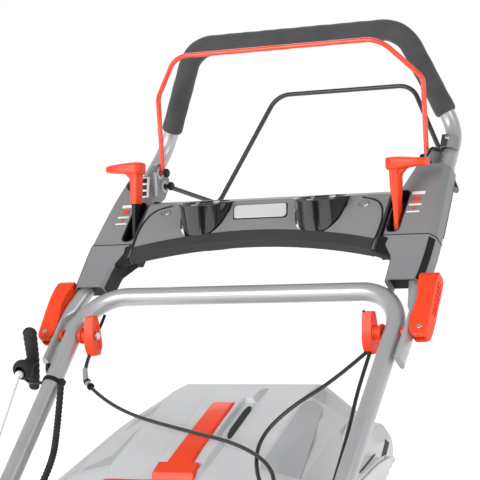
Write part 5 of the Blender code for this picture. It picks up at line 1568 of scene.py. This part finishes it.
def build_engine():
    centre = Vector((0.0, CRANK_Y, 0.0))
    profile = [(0.0, 0.406), (0.03, 0.4058), (0.046, 0.404), (0.08, 0.3975), (0.104, 0.3905),
               (0.117, 0.38), (0.123, 0.366), (0.1245, 0.35), (0.126, 0.315),
               (0.126, 0.312), (0.123, 0.312), (0.121, 0.364), (0.102, 0.388),
               (0.046, 0.401), (0.0, 0.403)]
    slots = []
    for c, d in around(28):
        out = Vector((c, d, 0.0))
        slots.append(box(centre + out * 0.074 + UP * 0.399, out, UP, (0.036, 0.0058, 0.03)))
    piece("shroud", lathe(profile, centre, UP, 96), "engine", "chassis",
          replaces=["engine_shroud"], cuts=slots, bevel=0.0007, angle=40.0)
    badge = lathe([(0.0, 0.405), (0.032, 0.4048), (0.034, 0.4062), (0.032, 0.4076),
                   (0.026, 0.408), (0.0, 0.408)], centre, UP, 64)
    piece("shroud_cap", badge, "red", "chassis", angle=40.0)
    mesh = lathe([(0.048, 0.3945), (0.096, 0.3845), (0.096, 0.3835), (0.048, 0.3935)],
                 centre, UP, 64)
    piece("shroud_screen", mesh, "steel", "chassis")
    for k in range(4):
        a = math.radians(45.0 + 90.0 * k)
        out = Vector((math.cos(a), math.sin(a), 0.0))
        bolt("shroud_bolt_%d" % k, centre + out * 0.1085 + UP * 0.3855,
             UP + out * 0.35, 0.0042, 0.0045, "steel", "chassis")
    rope_box = lathe([(0.0024, 0.0), (0.0085, 0.0), (0.0095, 0.002), (0.0078, 0.01),
                      (0.0024, 0.01)], (-0.1262, CRANK_Y, 0.376), (-1.0, 0.25, 0.1), 32)
    piece("rope_exit", rope_box, "black", "chassis", bevel=0.0005)

    # spark plug, lead and cylinder head cover
    head = prism([(-0.04, 0.22), (0.04, 0.22), (0.044, 0.226), (0.044, 0.284),
                  (0.04, 0.29), (-0.04, 0.29), (-0.044, 0.284), (-0.044, 0.226)],
                 -0.572, -0.56, "y")
    piece("head_cover", head, "alloy", "chassis", bevel=0.002, segs=3)
    bolts("head_bolt_", [(x, -0.572, z) for x, z in
                         ((0.034, 0.23), (-0.034, 0.23), (0.034, 0.28), (-0.034, 0.28))],
          (0, -1, 0), 0.0042, 0.005)
    plug_axis = Vector((0.0, -1.0, 0.25)).normalized()
    boot = lathe([(0.0, 0.0), (0.0095, 0.0), (0.01, 0.004), (0.0085, 0.012), (0.008, 0.026),
                  (0.0095, 0.03), (0.0085, 0.036), (0.0, 0.038)],
                 Vector((0.0, -0.571, 0.255)), plug_axis, 32)
    piece("plug_boot", boot, "rubber", "chassis", angle=40.0)
    lead = resample(fillet([Vector((0.0, -0.6, 0.262)), Vector((0.0, -0.612, 0.29)),
                            Vector((0.02, -0.58, 0.318)), Vector((0.05, -0.52, 0.33)),
                            Vector((0.06, -0.5, 0.345))], [0.014, 0.02, 0.03], 8), 0.003)
    piece("plug_lead", tube(lead, 0.0032, 14), "rubber", "chassis", angle=60.0)

    # muffler guard and air filter cover ribs
    guard = []
    for k in range(6):
        z = 0.222 + 0.0135 * k
        guard.append(box((0.13, -0.5, z), (0, 1, 0), UP, (0.084, 0.003, 0.006)))
    for y in (-0.545, -0.455):
        guard.append(box((0.1295, y, 0.256), (0, 1, 0), UP, (0.006, 0.004, 0.08)))
    piece("muffler_guard", merge(guard), "heat", "chassis", bevel=0.0008)
    ribs = []
    for k in range(6):
        y = -0.525 + 0.013 * k
        ribs.append(box((-0.1405, y, 0.26), (0, 1, 0), UP, (0.005, 0.0024, 0.066)))
    piece("filter_ribs", merge(ribs), "engine", "chassis", bevel=0.0007)
    clip = box((-0.1065, -0.5415, 0.285), X_AXIS, UP, (0.026, 0.004, 0.01))
    piece("filter_clip", clip, "red", "chassis", bevel=0.0012)

    # fuel cap with grip flutes
    cap = lathe([(0.0, 0.3526), (0.019, 0.3526), (0.0198, 0.3538), (0.0198, 0.3655),
                 (0.0186, 0.368), (0.015, 0.369), (0.0, 0.369)],
                (FUEL_CAP_X, FUEL_CAP_Y, 0.0), UP, 96,
                wobble=lambda a, r: r * (1.0 - (0.035 if r > 0.0188 else 0.0)
                                         * (0.5 - 0.5 * math.cos(16.0 * a))))
    piece("fuel_cap_fluted", cap, "red", "fuel_cap", replaces=["fuel_cap"], angle=40.0)
    bar = box((FUEL_CAP_X, FUEL_CAP_Y, 0.3692), (1.0, 0.4, 0.0), UP, (0.026, 0.005, 0.003))
    piece("fuel_cap_bar", bar, "red", "fuel_cap", bevel=0.001)


make_materials()
set_camera()
set_stage()
build_handles()
build_clamps()
build_console()
build_housings()
build_levers()
build_bails()
build_lines()
build_catcher()
build_wheels()
build_chassis()
build_engine()
